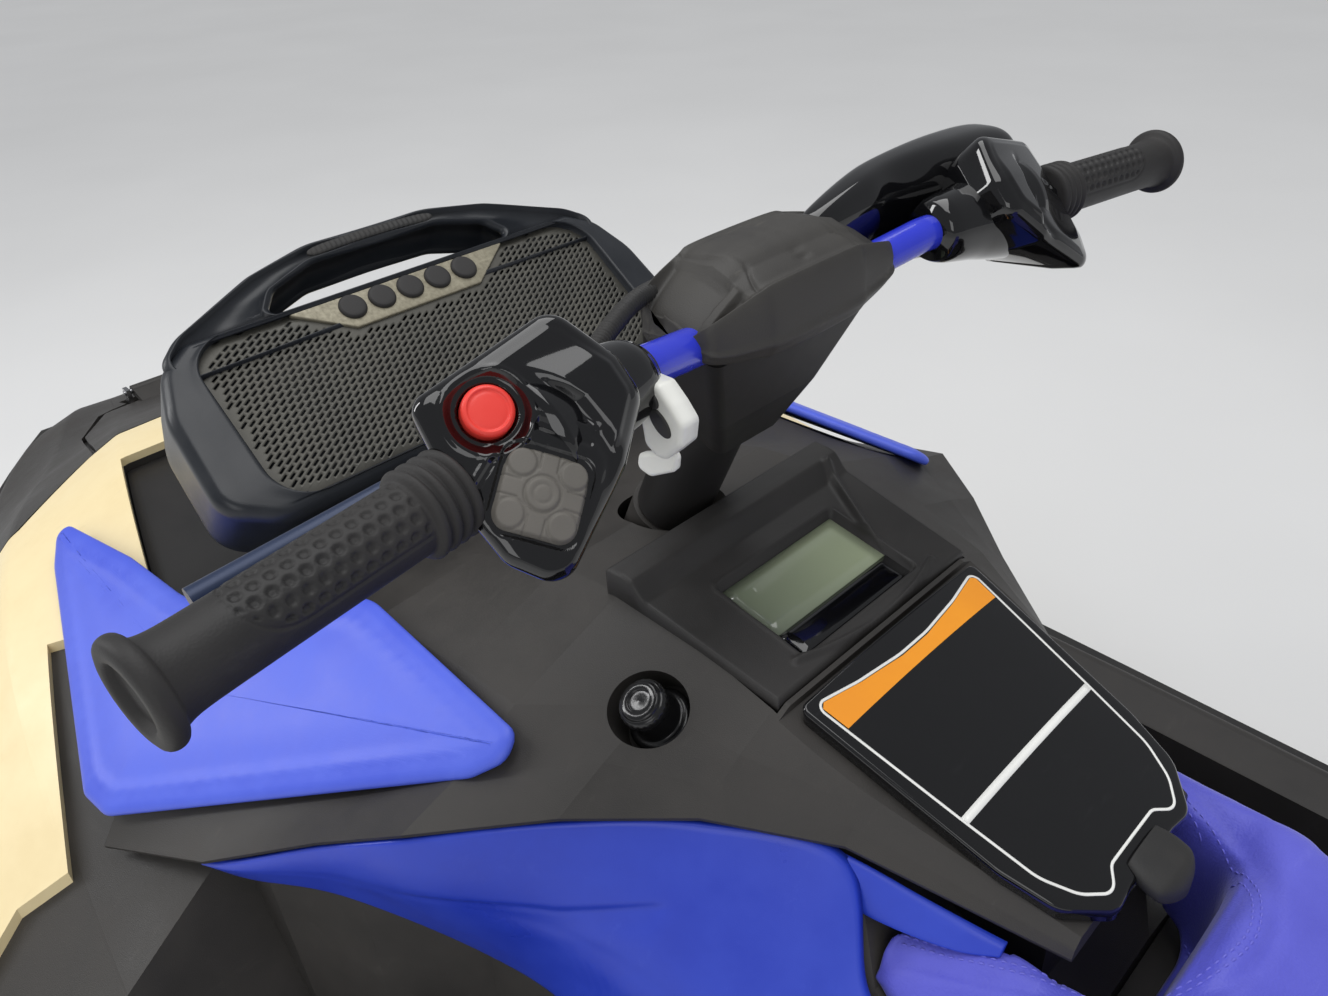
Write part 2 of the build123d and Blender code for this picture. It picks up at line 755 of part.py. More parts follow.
def make_pod_left():
    button_seat = pod_plane() * Pos(*button_at, 0) * Cylinder(button_r + 1, 16)
    return largest(pod_shape() - bar_space() - button_seat)


def make_pod_right(others):
    """Starboard pod, whose cowl runs inboard in front of the bar."""
    wires = []
    for y, x0, x1, z0, z1 in cowl_sections:
        middle = (z0 + z1) / 2
        wires.append(FilletPolyline((x0, y, z0 + 4), (x0 - 4, y, middle), (x0 + 4, y, z1), (x1 - 8, y, z1 - 4),
                                    (x1, y, middle), (x1 - 10, y, z0), radius=5, close=True))
    cowl = Solid.make_loft(wires, True)
    return largest(to_starboard(pod_shape() + cowl - bar_space()) - others)


def make_stop_button():
    return pod_plane() * Pos(*button_at, -1) * Cylinder(button_r, 14)


def make_keypad():
    outline = RectangleRounded(keypad_side, keypad_side, 6)
    return pod_plane() * Pos(*keypad_at, 0) * Rot(0, 0, keypad_turn_deg) * extrude(outline, 3)


def make_centre_pad(tube):
    wires = []
    for y, x0, x1, z0, z1 in pad_sections:
        wires.append(FilletPolyline((x0, y, z0 + 6), (x0 + 8, y, z1 - 8), (x1 - 8, y, z1), (x1, y, z0 + 4),
                                    radius=6, close=True))
    return Solid.make_loft(wires, True) - tube


def column_axis():
    tilt = radians(column_tilt_deg)
    return Vector(-sin(tilt), 0, cos(tilt))


def make_steering_neck(pad, tube):
    """Stem in the sleeve, a collar on it and the tapered tower under the pad."""
    axis = column_axis()
    pivot = Vector(*column_pivot)
    foot, shoulder = pivot - axis * 150, pivot - axis * 96
    neck = cylinder_between(tuple(foot), tuple(shoulder), stem_r)
    neck += cylinder_between(tuple(shoulder), tuple(pivot + axis * 20), neck_r)
    wires = []
    for distance, half_depth, half_width in neck_sections:
        plane = Plane(origin=pivot + axis * distance, x_dir=(0, 1, 0), z_dir=axis)
        wires.append(section_wire(plane, RectangleRounded(2 * half_width, 2 * half_depth, 8)))
    neck += Solid.make_loft(wires, True)
    return largest(neck - pad - tube)


def make_steering_sleeve(others):
    axis = column_axis()
    pivot = Vector(*column_pivot)
    foot, head = pivot - axis * 200, pivot - axis * 98
    sleeve = cylinder_between(tuple(foot), tuple(head), stem_r + sleeve_wall)
    bore = cylinder_between(tuple(pivot - axis * 156), tuple(head + axis), stem_r + hinge_clearance)
    return largest(sleeve - [bore, *others])


def make_lever(y0, y1, pod):
    start, end = bar_point(y0), bar_point(y1)
    path = Polyline((start[0] + 44, y0, start[2] - 16), (end[0] + 62, y1, end[2] - 22))
    return largest(sweep(Plane(origin=path @ 0, z_dir=path % 0) * Circle(lever_r), path) - pod)


def make_conduit(others):
    path = FilletPolyline((334, 24, 792), (314, 54, 812), (292, 112, 816), (262, 168, 806), radius=[40, 60])
    return largest(sweep(Plane(origin=path @ 0, z_dir=path % 0) * Circle(conduit_r), path) - others)


def make_cable_clip(tube, pod):
    """Clip that hangs the switch cable from the bar beside the port pod."""
    x, y, z = bar_point(sum(clip_y) / 2)
    clip = cylinder_between(bar_point(clip_y[0]), bar_point(clip_y[1]), tube_r + 4)
    clip += block(x - 30, x + 2, *clip_y, z - clip_drop, z)
    return largest(clip - [tube, pod])


def make_engine_block():
    length, width, height = engine_size
    x = sum(engine_bay_x) / 2
    return Pos(x, 0, engine_bay_floor_z + height / 2) * Box(length, width, height)


def make_pump_housing():
    """Pump duct with its stator vanes, its flange in the tunnel, and the pins that carry nozzle and bucket."""
    x0, x1 = pump_x
    r, w, z = pump_bore_r, tunnel_half_width, pump_axis_z
    housing = along_x(x0, x1, r + pump_wall)
    housing += block(x1 - 14, x1 + 4, -w, w, ride_plate_z + ride_plate_thickness, tunnel_roof_z)
    housing -= along_x(x0 - 1, x1 + 10, r)
    vane = block(x0 + 34, x0 + 80, 12, r + 2, z - 2, z + 2)
    for k in range(6):
        housing += Pos(0, 0, z) * Rot(60 * k, 0, 0) * Pos(0, 0, -z) * vane
    housing += along_x(x0 + 34, x0 + 84, 30)
    for side in (1, -1):
        inner, outer = sorted((side * bucket_arm_y, side * (bucket_arm_y + 9)))
        housing += block(bucket_pivot_x - 16, x1 - 4, inner, outer, z - 15, z + 15)
        housing += along_y(side * (bucket_arm_y - 17), side * (bucket_arm_y + 4), bucket_pin_r, bucket_pivot_x, z)
        low, high = sorted((z + side * (r + 2), z + side * (r + 13)))
        housing += block(nozzle_pivot_x - 14, x0 + 4, -14, 14, low, high)
        housing += cylinder_between((nozzle_pivot_x, 0, z + side * (r - 14)), (nozzle_pivot_x, 0, z + side * (r + 4)),
                                    nozzle_pin_r)
    return housing - along_x(x0 + 44, x0 + 90, shaft_r + hinge_clearance)


def make_drive_shaft():
    return along_x(pump_x[0] + 50, engine_bay_x[0] + 38, shaft_r)


def make_impeller():
    x0, x1 = impeller_x
    middle, z = (x0 + x1) / 2, pump_axis_z
    r = pump_bore_r - impeller_clearance
    wheel = along_x(x0, x1, 32)
    blade_face = Plane(origin=(middle, 0, z), z_dir=(0, 1, 0)) * Rot(0, 0, 35) * Rectangle(100, blade_thickness)
    for k in range(impeller_blades):
        blade = extrude(blade_face, r)
        wheel += Pos(0, 0, z) * Rot(360 / impeller_blades * k, 0, 0) * Pos(0, 0, -z) * blade
    wheel = wheel & along_x(x0 - 4, x1 + 4, r)
    return largest(wheel - along_x(x0 - 10, x1 + 16, shaft_r))


def make_nozzle():
    z = pump_axis_z
    plane = Plane(origin=(pump_x[0] - 8, 0, z), z_dir=(-1, 0, 0))
    outer = loft([plane * Circle(62 + nozzle_wall), plane.offset(nozzle_length) * Circle(nozzle_exit_r + nozzle_wall)])
    inner = loft([plane.offset(-1) * Circle(62), plane.offset(nozzle_length + 1) * Circle(nozzle_exit_r)])
    bores = []
    for side in (1, -1):
        outer += Pos(nozzle_pivot_x, 0, z + side * 65) * Cylinder(14, 26)
        bores.append(cylinder_between((nozzle_pivot_x, 0, z + side * 50), (nozzle_pivot_x, 0, z + side * 90),
                                      nozzle_pin_r + hinge_clearance))
    return largest(outer - [inner, *bores])


def make_reverse_bucket():
    x, z = bucket_pivot_x, pump_axis_z
    profile = FilletPolyline((x + 22, 0, z - 14), (x - 20, 0, z - 14), (x - 116, 0, z + 90), (x - 128, 0, z + 140),
                             (x - 60, 0, z + 140), (x + 22, 0, z + 40), radius=10, close=True)
    half = bucket_arm_y - 5
    outer = Pos(0, -half, 0) * extrude(make_face(profile), 2 * half, dir=(0, 1, 0))
    inner = block(x - 112, x + 40, bucket_wall - half, half - bucket_wall, z - 60, z + 140 - bucket_wall)
    return largest(outer - inner - along_y(-half - 4, half + 4, bucket_pin_r + hinge_clearance, x, z))


def make_ride_plate():
    w = tunnel_half_width
    return block(ride_plate_rear_x, pump_x[1] + 4, -w, w, ride_plate_z, ride_plate_z + ride_plate_thickness)


def make_intake_grate(hull):
    x0, x1 = intake_x
    low, high = ride_plate_z - grate_depth, ride_plate_z
    bars = block(x0, x0 + 16, 3 - intake_half_width, intake_half_width - 3, low, high)
    bars += block(x1 - 16, x1, 3 - intake_half_width, intake_half_width - 3, low, high)
    for k in range(-2, 3):
        y = k * grate_pitch
        bars += block(x0 - 10, x1 + 30, y - grate_bar / 2, y + grate_bar / 2, low, high)
    return largest(bars - hull)


def make_sponson(hull):
    return largest(plan_prism(sponson_outline, *sponson_z) - hull)


def make_eye(at, side, hull):
    """Lifting eye: a rounded lug with a cross bore, seated on the hull."""
    x, z = at
    plane = Plane(origin=(x + side * 20, 0, z), x_dir=(1, 0, 0), z_dir=(0, -1, 0))
    lug = extrude(plane * Pos(0, 0, -eye_thickness / 2) * SlotCenterToCenter(40, 2 * eye_r + 16), eye_thickness)
    return largest(lug - hull - along_y(-20, 20, eye_r, x, z))


def build():
    hull = make_hull()
    deck = make_deck(hull)
    console_base = make_console_base(deck)
    seat_base = make_seat_base(deck)
    tube = make_bar_tube()
    pad = make_centre_pad(tube)
    neck = make_steering_neck(pad, tube)
    side_panel = make_side_panel()
    side_panels = [side_panel, to_starboard(side_panel)]
    cover = make_console_cover([deck, console_base])
    fairing = make_hood_fairing()
    wing = make_wing_panel([cover, deck, side_panel, console_base, fairing])
    base = make_speaker_base()
    pod = make_pod_left()
    pod_right = make_pod_right([tube, pad, neck])
    grip = make_grip(pod)
    clip = make_cable_clip(tube, pod)
    mat = make_footwell_mat()
    sponson = make_sponson(hull)
    lever = make_lever(226, 345, pod)
    return {
        "hull": hull,
        "deck": deck,
        "console_base": console_base,
        "seat_base": seat_base,
        "bumper_rail": make_bumper_rail(hull, deck),
        "hood_fairing": fairing,
        "front_lid": make_front_lid(),
        "nose_cover": make_nose_cover(deck),
        "lid_hinge_pin": make_lid_pin(deck),
        "storage_tub": make_storage_tub(),
        "glovebox_tub": make_glovebox_tub(),
        "speaker_base": base,
        "speaker_body": make_speaker_body(base),
        "speaker_grille": make_speaker_grille(),
        "control_strip": make_control_strip(),
        "console_cover": cover,
        "gauge_housing": make_gauge_housing(),
        "gauge_glass": make_gauge_glass(),
        "glovebox_lid": make_glovebox_lid(),
        "key_post": make_key_post(),
        "wing_panel_left": wing,
        "wing_panel_right": to_starboard(wing),
        "side_panel_left": side_panel,
        "side_panel_right": to_starboard(side_panel),
        "seat_front": make_seat_front([console_base, seat_base, cover, *side_panels]),
        "seat_rear": make_seat_rear(),
        "grab_handle": make_grab_handle(seat_base),
        "footwell_mat_left": mat,
        "footwell_mat_right": to_starboard(mat),
        "platform_mat": make_platform_mat([deck, seat_base]),
        "engine_block": make_engine_block(),
        "pump_housing": make_pump_housing(),
        "drive_shaft": make_drive_shaft(),
        "impeller": make_impeller(),
        "steering_nozzle": make_nozzle(),
        "reverse_bucket": make_reverse_bucket(),
        "ride_plate": make_ride_plate(),
        "intake_grate": make_intake_grate(hull),
        "sponson_left": sponson,
        "sponson_right": to_starboard(sponson),
        "bow_eye": make_eye(bow_eye_at, -1, hull),
        "tow_eye": make_eye(tow_eye_at, 1, hull),
        "handlebar_tube": tube,
        "steering_sleeve": make_steering_sleeve([console_base, cover]),
        "steering_neck": neck,
        "centre_pad": pad,
        "pod_left": pod,
        "pod_right": pod_right,
        "grip_left": grip,
        "grip_right": to_starboard(grip),
        "brake_lever": lever,
        "throttle_lever": largest(to_starboard(lever) - pod_right),
        "stop_button": make_stop_button(),
        "keypad": make_keypad(),
        "conduit": make_conduit([pad, pod, tube, neck, clip]),
        "cable_clip": clip,
    }


if __name__ == "__main__":
    for name, shape in build().items():
        print(name, len(shape.solids()), round(shape.volume / 1e6, 3))
        export_step(shape, f"parts/{name}.step")
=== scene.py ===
import math

import bmesh
import bpy
import numpy as np
from mathutils import Matrix, Vector
from mathutils.bvhtree import BVHTree


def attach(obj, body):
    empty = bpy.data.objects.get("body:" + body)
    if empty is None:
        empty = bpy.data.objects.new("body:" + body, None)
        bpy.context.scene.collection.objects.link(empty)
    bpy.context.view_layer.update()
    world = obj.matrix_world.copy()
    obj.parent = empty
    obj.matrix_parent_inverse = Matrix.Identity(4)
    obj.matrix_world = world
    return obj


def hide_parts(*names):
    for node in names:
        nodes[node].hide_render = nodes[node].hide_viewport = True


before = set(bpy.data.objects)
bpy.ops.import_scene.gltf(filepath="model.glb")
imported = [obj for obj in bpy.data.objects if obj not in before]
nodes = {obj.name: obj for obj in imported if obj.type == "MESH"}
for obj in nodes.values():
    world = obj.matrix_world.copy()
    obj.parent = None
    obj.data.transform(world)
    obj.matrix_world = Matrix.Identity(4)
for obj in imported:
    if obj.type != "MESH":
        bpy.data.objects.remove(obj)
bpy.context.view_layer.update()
mm = 0.001


# Shapes: grids of points worked out as whole arrays


# Direction alone: a vector over its own length
def unit(v):
    v = np.asarray(v, float)
    return v / np.linalg.norm(v)


# Smooth rise from 0 at low to 1 at high: three squares less two cubes of the share
def softStep(x, low, high):
    t = np.clip((x - low) / (high - low), 0, 1)
    return t * t * (3 - 2 * t)


# Bell curve: 1 on a line, falling to nothing at about twice the width from it
def bell(distance, width):
    return np.exp(-(distance / width) ** 2)


# Height of a quarter circle over a share of its radius: steep at 0, level from 1 on
def quarterRound(share, least=0.0):
    return np.sqrt(np.clip(1 - (1 - np.clip(share, 0, 1)) ** 2, least, 1))


# Cosine and sine round a circle, each raised to a power below 1, which squares the circle up
def squaredCircle(count, powerA, powerB):
    t = np.linspace(0, 2 * math.pi, count, endpoint=False)
    c, s = np.cos(t), np.sin(t)
    return np.sign(c) * np.abs(c) ** powerA, np.sign(s) * np.abs(s) ** powerB


# Length run along a path up to each of its points
def runLength(path):
    return np.concatenate([[0], np.cumsum(np.linalg.norm(np.diff(path, axis=0), axis=1))])


# Quads between neighbouring rows of a grid; with wrap the last column joins the first
def gridFaces(rows, cols, wrap):
    r = np.arange(rows - 1)[:, None]
    c = np.arange(cols if wrap else cols - 1)[None, :]
    n = (c + 1) % cols
    return np.stack([r * cols + c, r * cols + n, (r + 1) * cols + n, (r + 1) * cols + c], -1).reshape(-1, 4)


# Faces of a block over an n by m grid: the top, the same grid turned over below it, and the walls
def blockFaces(n, m):
    top = gridFaces(n, m, False)
    i, j = np.arange(n), np.arange(m)
    rim = np.concatenate([i[:-1] * m, (n - 1) * m + j[:-1], i[:0:-1] * m + m - 1, j[:0:-1]])
    ahead = np.roll(rim, -1)
    walls = np.stack([rim, ahead, ahead + n * m, rim + n * m], -1)
    return np.vstack([top, top[:, ::-1] + n * m, walls])


# Mesh from points in millimetres, its doubles merged and its faces turned outwards
def meshObject(name, points, faces, turnOut=True):
    mesh = bpy.data.meshes.new(name)
    mesh.from_pydata((np.asarray(points, float) * mm).tolist(), [], [list(f) for f in faces])
    work = bmesh.new()
    work.from_mesh(mesh)
    if turnOut:
        bmesh.ops.remove_doubles(work, verts=work.verts, dist=1e-6)
        bmesh.ops.recalc_face_normals(work, faces=work.faces)
    work.to_mesh(mesh)
    work.free()
    mesh.polygons.foreach_set("use_smooth", np.ones(len(mesh.polygons), bool))
    obj = bpy.data.objects.new(name, mesh)
    bpy.context.scene.collection.objects.link(obj)
    return obj


# Vertices of a mesh as one array
def meshPoints(mesh):
    co = np.zeros(len(mesh.vertices) * 3)
    mesh.vertices.foreach_get("co", co)
    return co.reshape(-1, 3)


# Skin through closed rings of equally many points, each open end closed on its middle point
def ringSurface(name, rings, capStart=True, capEnd=True):
    rings = np.asarray(rings, float)
    rows, cols = rings.shape[:2]
    points = rings.reshape(-1, 3)
    faces = gridFaces(rows, cols, True).tolist()
    k = np.arange(cols)
    for wanted, row in ((capStart, 0), (capEnd, rows - 1)):
        if wanted:
            points = np.vstack([points, rings[row].mean(0)])
            middle = len(points) - 1
            fan = [row * cols + k, row * cols + (k + 1) % cols, np.full(cols, middle)]
            faces += np.stack(fan, -1).tolist()
    return meshObject(name, points, faces)


# One mesh object from several, in place
def joinPieces(name, pieces):
    points, faces, base = [], [], 0
    for piece in pieces:
        points.append(meshPoints(piece.data) / mm)
        faces += [[v + base for v in poly.vertices] for poly in piece.data.polygons]
        base += len(piece.data.vertices)
        bpy.data.objects.remove(piece)
    return meshObject(name, np.vstack(points), faces, turnOut=False)


# Closed outline through (a, b, radius) corners: each corner an arc tangent to its sides, evenly divided
def roundedOutline(corners, count):
    at = np.array([c[:2] for c in corners], float)
    run = []
    for k, corner in enumerate(corners):
        here = at[k]
        back, ahead = at[k - 1] - here, at[(k + 1) % len(at)] - here
        lengths = np.linalg.norm(back), np.linalg.norm(ahead)
        d0, d1 = back / lengths[0], ahead / lengths[1]
        half = 0.5 * math.acos(max(-1.0, min(1.0, float(d0 @ d1))))
        cut = min(corner[2] / math.tan(half), 0.48 * min(lengths))
        if cut < 0.05:
            run.append(here[None, :])
            continue
        radius = cut * math.tan(half)
        middle = here + unit(d0 + d1) * radius / math.sin(half)
        a0 = math.atan2(*(here + d0 * cut - middle)[::-1])
        a1 = math.atan2(*(here + d1 * cut - middle)[::-1])
        sweep = (a1 - a0 + math.pi) % (2 * math.pi) - math.pi
        t = a0 + sweep * np.linspace(0, 1, 13)
        run.append(middle + radius * np.stack([np.cos(t), np.sin(t)], -1))
    return resample(np.vstack(run), count)


# Closed polyline divided into count equal steps
def resample(loop, count):
    closed = np.vstack([loop, loop[:1]])
    along = runLength(closed)
    want = np.linspace(0, along[-1], count, endpoint=False)
    return np.stack([np.interp(want, along, closed[:, k]) for k in range(closed.shape[1])], -1)


# Outline moved inwards along its own normals
def inset(outline, distance):
    tangent = np.roll(outline, -1, 0) - np.roll(outline, 1, 0)
    normal = np.stack([-tangent[:, 1], tangent[:, 0]], -1)
    normal /= np.maximum(np.linalg.norm(normal, axis=1, keepdims=True), 1e-9)
    x, y = outline.T
    turn = np.sign(np.sum(x * np.roll(y, -1) - np.roll(x, -1) * y))
    return outline + turn * distance * normal


# Flat frame: a and b lie in it, h stands off it
class Plane:
    # The normal is kept, the direction across loses its share of the normal, up is square to both
    def __init__(self, origin, across, normal):
        self.origin = np.asarray(origin, float)
        self.normal = unit(normal)
        across = np.asarray(across, float)
        self.across = unit(across - self.normal * (across @ self.normal))
        self.up = np.cross(self.normal, self.across)

    # Origin plus a steps across, b steps up and h along the normal
    def lift(self, ab, h=0.0):
        ab = np.asarray(ab, float)
        h = np.broadcast_to(h, ab.shape[:-1])
        return self.origin + ab[..., :1] * self.across + ab[..., 1:2] * self.up + h[..., None] * self.normal


# Closed plate: rim rows are (inset, height) from the underside round to the face, then the face runs in
# rings to its middle, raised by height(ab)
def platePiece(name, outline, rim, lift, middle=None, rings=10, height=None):
    middle = outline.mean(0) if middle is None else np.asarray(middle, float)
    flat = [(inset(outline, d), h) for d, h in rim]
    rows = [lift(middle + (flat[0][0] - middle) * s, flat[0][1]) for s in (0.02, 0.5)]
    rows += [lift(ab, h) for ab, h in flat[:-1]]
    inner, top = flat[-1]
    face = [inner] + [middle + (inner - middle) * s for s in np.linspace(1, 0.01, rings + 1)[1:]]
    rows += [lift(ab, top + (height(ab) if height else 0)) for ab in face]
    return ringSurface(name, rows)


# Rim rows of a plate with a quarter-round upper edge and a small lower one
def roundRim(thickness, radius):
    t = np.linspace(0, math.pi / 2, 6)
    small = radius * 0.4
    low = [(small * (1 - math.sin(a)), -thickness + small * (1 - math.cos(a))) for a in t[:3]]
    return low + [(radius * (1 - math.cos(a)), -radius + radius * math.sin(a)) for a in t]


# Smooth curve through points, by Catmull and Rom's blend of each four in a row
def spline(points, count):
    p = np.asarray(points, float)
    p = np.vstack([2 * p[0] - p[1], p, 2 * p[-1] - p[-2]])
    s = np.linspace(0, len(p) - 3, count)
    k = np.minimum(s.astype(int), len(p) - 4)
    t = (s - k).reshape((-1,) + (1,) * (p.ndim - 1))
    a, b, c, d = p[k], p[k + 1], p[k + 2], p[k + 3]
    return 0.5 * (2 * b + (c - a) * t + (2 * a - 5 * b + 4 * c - d) * t**2 + (3 * b - a - 3 * c + d) * t**3)


# Round tube along a path; the radius may change from point to point
def tubePiece(name, path, radius, sides):
    path = np.asarray(path, float)
    tangent = np.gradient(path, axis=0)
    tangent /= np.linalg.norm(tangent, axis=1, keepdims=True)
    side = np.cross(tangent, [0.31, 0.17, 0.93])
    side /= np.linalg.norm(side, axis=1, keepdims=True)
    up = np.cross(tangent, side)
    t = np.linspace(0, 2 * math.pi, sides, endpoint=False)
    r = np.broadcast_to(radius, len(path))[:, None, None]
    circle = side[:, None] * np.cos(t)[None, :, None] + up[:, None] * np.sin(t)[None, :, None]
    return ringSurface(name, path[:, None] + r * circle)


# Body of revolution: profile rows are (distance along the axis, radius)
def turnedPiece(name, origin, axis, profile, sides):
    origin, axis = np.asarray(origin, float), unit(axis)
    side = unit(np.cross(axis, [0.2, 0.3, 0.93]))
    up = np.cross(axis, side)
    t = np.linspace(0, 2 * math.pi, sides, endpoint=False)
    circle = side * np.cos(t)[:, None] + up * np.sin(t)[:, None]
    rings = [origin + axis * s + circle * max(r, 0.01) for s, r in profile]
    return ringSurface(name, rings)


# Copy on the other side of the centre plane
def mirrored(obj, name):
    mesh = obj.data.copy()
    mesh.transform(Matrix.Diagonal((1, -1, 1, 1)))
    mesh.flip_normals()
    copy = bpy.data.objects.new(name, mesh)
    bpy.context.scene.collection.objects.link(copy)
    return copy


# Finishes

# Shader group with its sockets: inputs are (label, kind, value), outputs (label, kind)
def newGroup(name, inputs, outputs):
    tree = bpy.data.node_groups.new(name, "ShaderNodeTree")
    for label, kind, value in inputs:
        socket = tree.interface.new_socket(label, in_out="INPUT", socket_type="NodeSocket" + kind)
        if value is not None:
            socket.default_value = value
    for label, kind in outputs:
        tree.interface.new_socket(label, in_out="OUTPUT", socket_type="NodeSocket" + kind)
    return tree, tree.nodes.new("NodeGroupInput"), tree.nodes.new("NodeGroupOutput")


# Node with its settings; links are (input, source socket)
def addNode(tree, kind, links=(), **settings):
    node = tree.nodes.new(kind)
    for key, value in settings.items():
        if key.startswith("in_"):
            label = key[3:]
            node.inputs[int(label) if label.isdigit() else label.replace("_", " ")].default_value = value
        else:
            setattr(node, key, value)
    for target, source in links:
        tree.links.new(source, node.inputs[target])
    return node


# Fine moulded grain: a height of two noises, and a slow tone that changes over the surface
def mouldedGroup():
    tree, inp, out = newGroup("mouldedGrain", [("Vector", "Vector", None), ("Grain", "Float", 900.0),
                                               ("Cloud", "Float", 14.0)],
                              [("Height", "Float"), ("Tone", "Float")])
    at, grain, cloud = [inp.outputs[label] for label in ("Vector", "Grain", "Cloud")]
    fine = addNode(tree, "ShaderNodeTexNoise", [("Vector", at), ("Scale", grain)], in_Detail=3.0,
                   in_Roughness=0.6)
    cells = addNode(tree, "ShaderNodeTexVoronoi", [("Vector", at), ("Scale", grain)])
    both = addNode(tree, "ShaderNodeMath", [(0, fine.outputs["Fac"]), (1, cells.outputs["Distance"])],
                   operation="ADD")
    slow = addNode(tree, "ShaderNodeTexNoise", [("Vector", at), ("Scale", cloud)], in_Detail=4.0,
                   in_Roughness=0.65)
    tree.links.new(both.outputs[0], out.inputs["Height"])
    tree.links.new(slow.outputs["Fac"], out.inputs["Tone"])
    return tree


# Thin light scuffs: stretched noise kept only near its peaks
def scuffGroup():
    tree, inp, out = newGroup("surfaceScuffs", [("Vector", "Vector", None), ("Scale", "Float", 60.0),
                                                ("Amount", "Float", 0.5)], [("Mask", "Float")])
    stretch = addNode(tree, "ShaderNodeMapping", [("Vector", inp.outputs["Vector"])],
                      in_Scale=(1.0, 0.22, 0.6), in_Rotation=(0.3, 0.2, 0.7))
    noise = addNode(tree, "ShaderNodeTexNoise",
                    [("Vector", stretch.outputs[0]), ("Scale", inp.outputs["Scale"])],
                    in_Detail=6.0, in_Roughness=0.75)
    keep = addNode(tree, "ShaderNodeMapRange", [("Value", noise.outputs["Fac"])], in_From_Min=0.6,
                   in_From_Max=0.78)
    scaled = addNode(tree, "ShaderNodeMath", [(0, keep.outputs[0]), (1, inp.outputs["Amount"])],
                     operation="MULTIPLY")
    tree.links.new(scaled.outputs[0], out.inputs["Mask"])
    return tree


# Linear colour from screen values of 0 to 255
def linear(colour):
    c = np.asarray(colour, float) / 255
    c = np.where(c <= 0.04045, c / 12.92, ((c + 0.055) / 1.055) ** 2.4)
    return (*c.tolist(), 1.0)


mouldedGrain = mouldedGroup()
surfaceScuffs = scuffGroup()


# Principled finish with grain, slow tone and scuffs; look holds its screen colours and amounts
def finishMaterial(name, look):
    mat = bpy.data.materials.new(name)
    mat.use_nodes = True
    tree = mat.node_tree
    shader = tree.nodes["Principled BSDF"]
    coord = addNode(tree, "ShaderNodeTexCoord")
    grain = addNode(tree, "ShaderNodeGroup", node_tree=mouldedGrain)
    grain.inputs["Grain"].default_value = look.get("grain", 900.0)
    grain.inputs["Cloud"].default_value = look.get("cloud", 14.0)
    tree.links.new(coord.outputs["Object"], grain.inputs["Vector"])
    scuff = addNode(tree, "ShaderNodeGroup", node_tree=surfaceScuffs)
    scuff.inputs["Scale"].default_value = look.get("scuffScale", 60.0)
    scuff.inputs["Amount"].default_value = look.get("scuffs", 0.3)
    tree.links.new(coord.outputs["Object"], scuff.inputs["Vector"])
    tone = addNode(tree, "ShaderNodeMapRange", [("Value", grain.outputs["Tone"])], in_From_Min=0.3,
                   in_From_Max=0.7)
    base = addNode(tree, "ShaderNodeMix", [("Factor", tone.outputs[0])], data_type="RGBA")
    base.inputs[6].default_value = linear(look["colour"])
    base.inputs[7].default_value = linear(look.get("colour2", look["colour"]))
    worn = addNode(tree, "ShaderNodeMix", [("Factor", scuff.outputs["Mask"]), (6, base.outputs[2])],
                   data_type="RGBA")
    worn.inputs[7].default_value = linear(look.get("scuffColour", look.get("colour2", look["colour"])))
    tree.links.new(worn.outputs[2], shader.inputs["Base Color"])
    rough = look.get("rough", 0.5)
    spread = look.get("roughSpread", 0.08)
    roughness = addNode(tree, "ShaderNodeMapRange", [("Value", grain.outputs["Tone"])], in_From_Min=0.3,
                        in_From_Max=0.7, in_To_Min=max(rough - spread, 0.02), in_To_Max=rough + spread)
    tree.links.new(roughness.outputs[0], shader.inputs["Roughness"])
    bump = addNode(tree, "ShaderNodeBump", [("Height", grain.outputs["Height"])],
                   in_Strength=look.get("bump", 0.25), in_Distance=look.get("bumpDepth", 0.0002))
    tree.links.new(bump.outputs[0], shader.inputs["Normal"])
    for label, key in (("Metallic", "metallic"), ("Coat Weight", "coat"), ("Coat Roughness", "coatRough"),
                       ("Specular IOR Level", "specular"), ("Sheen Weight", "sheen")):
        if key in look:
            shader.inputs[label].default_value = look[key]
    return mat


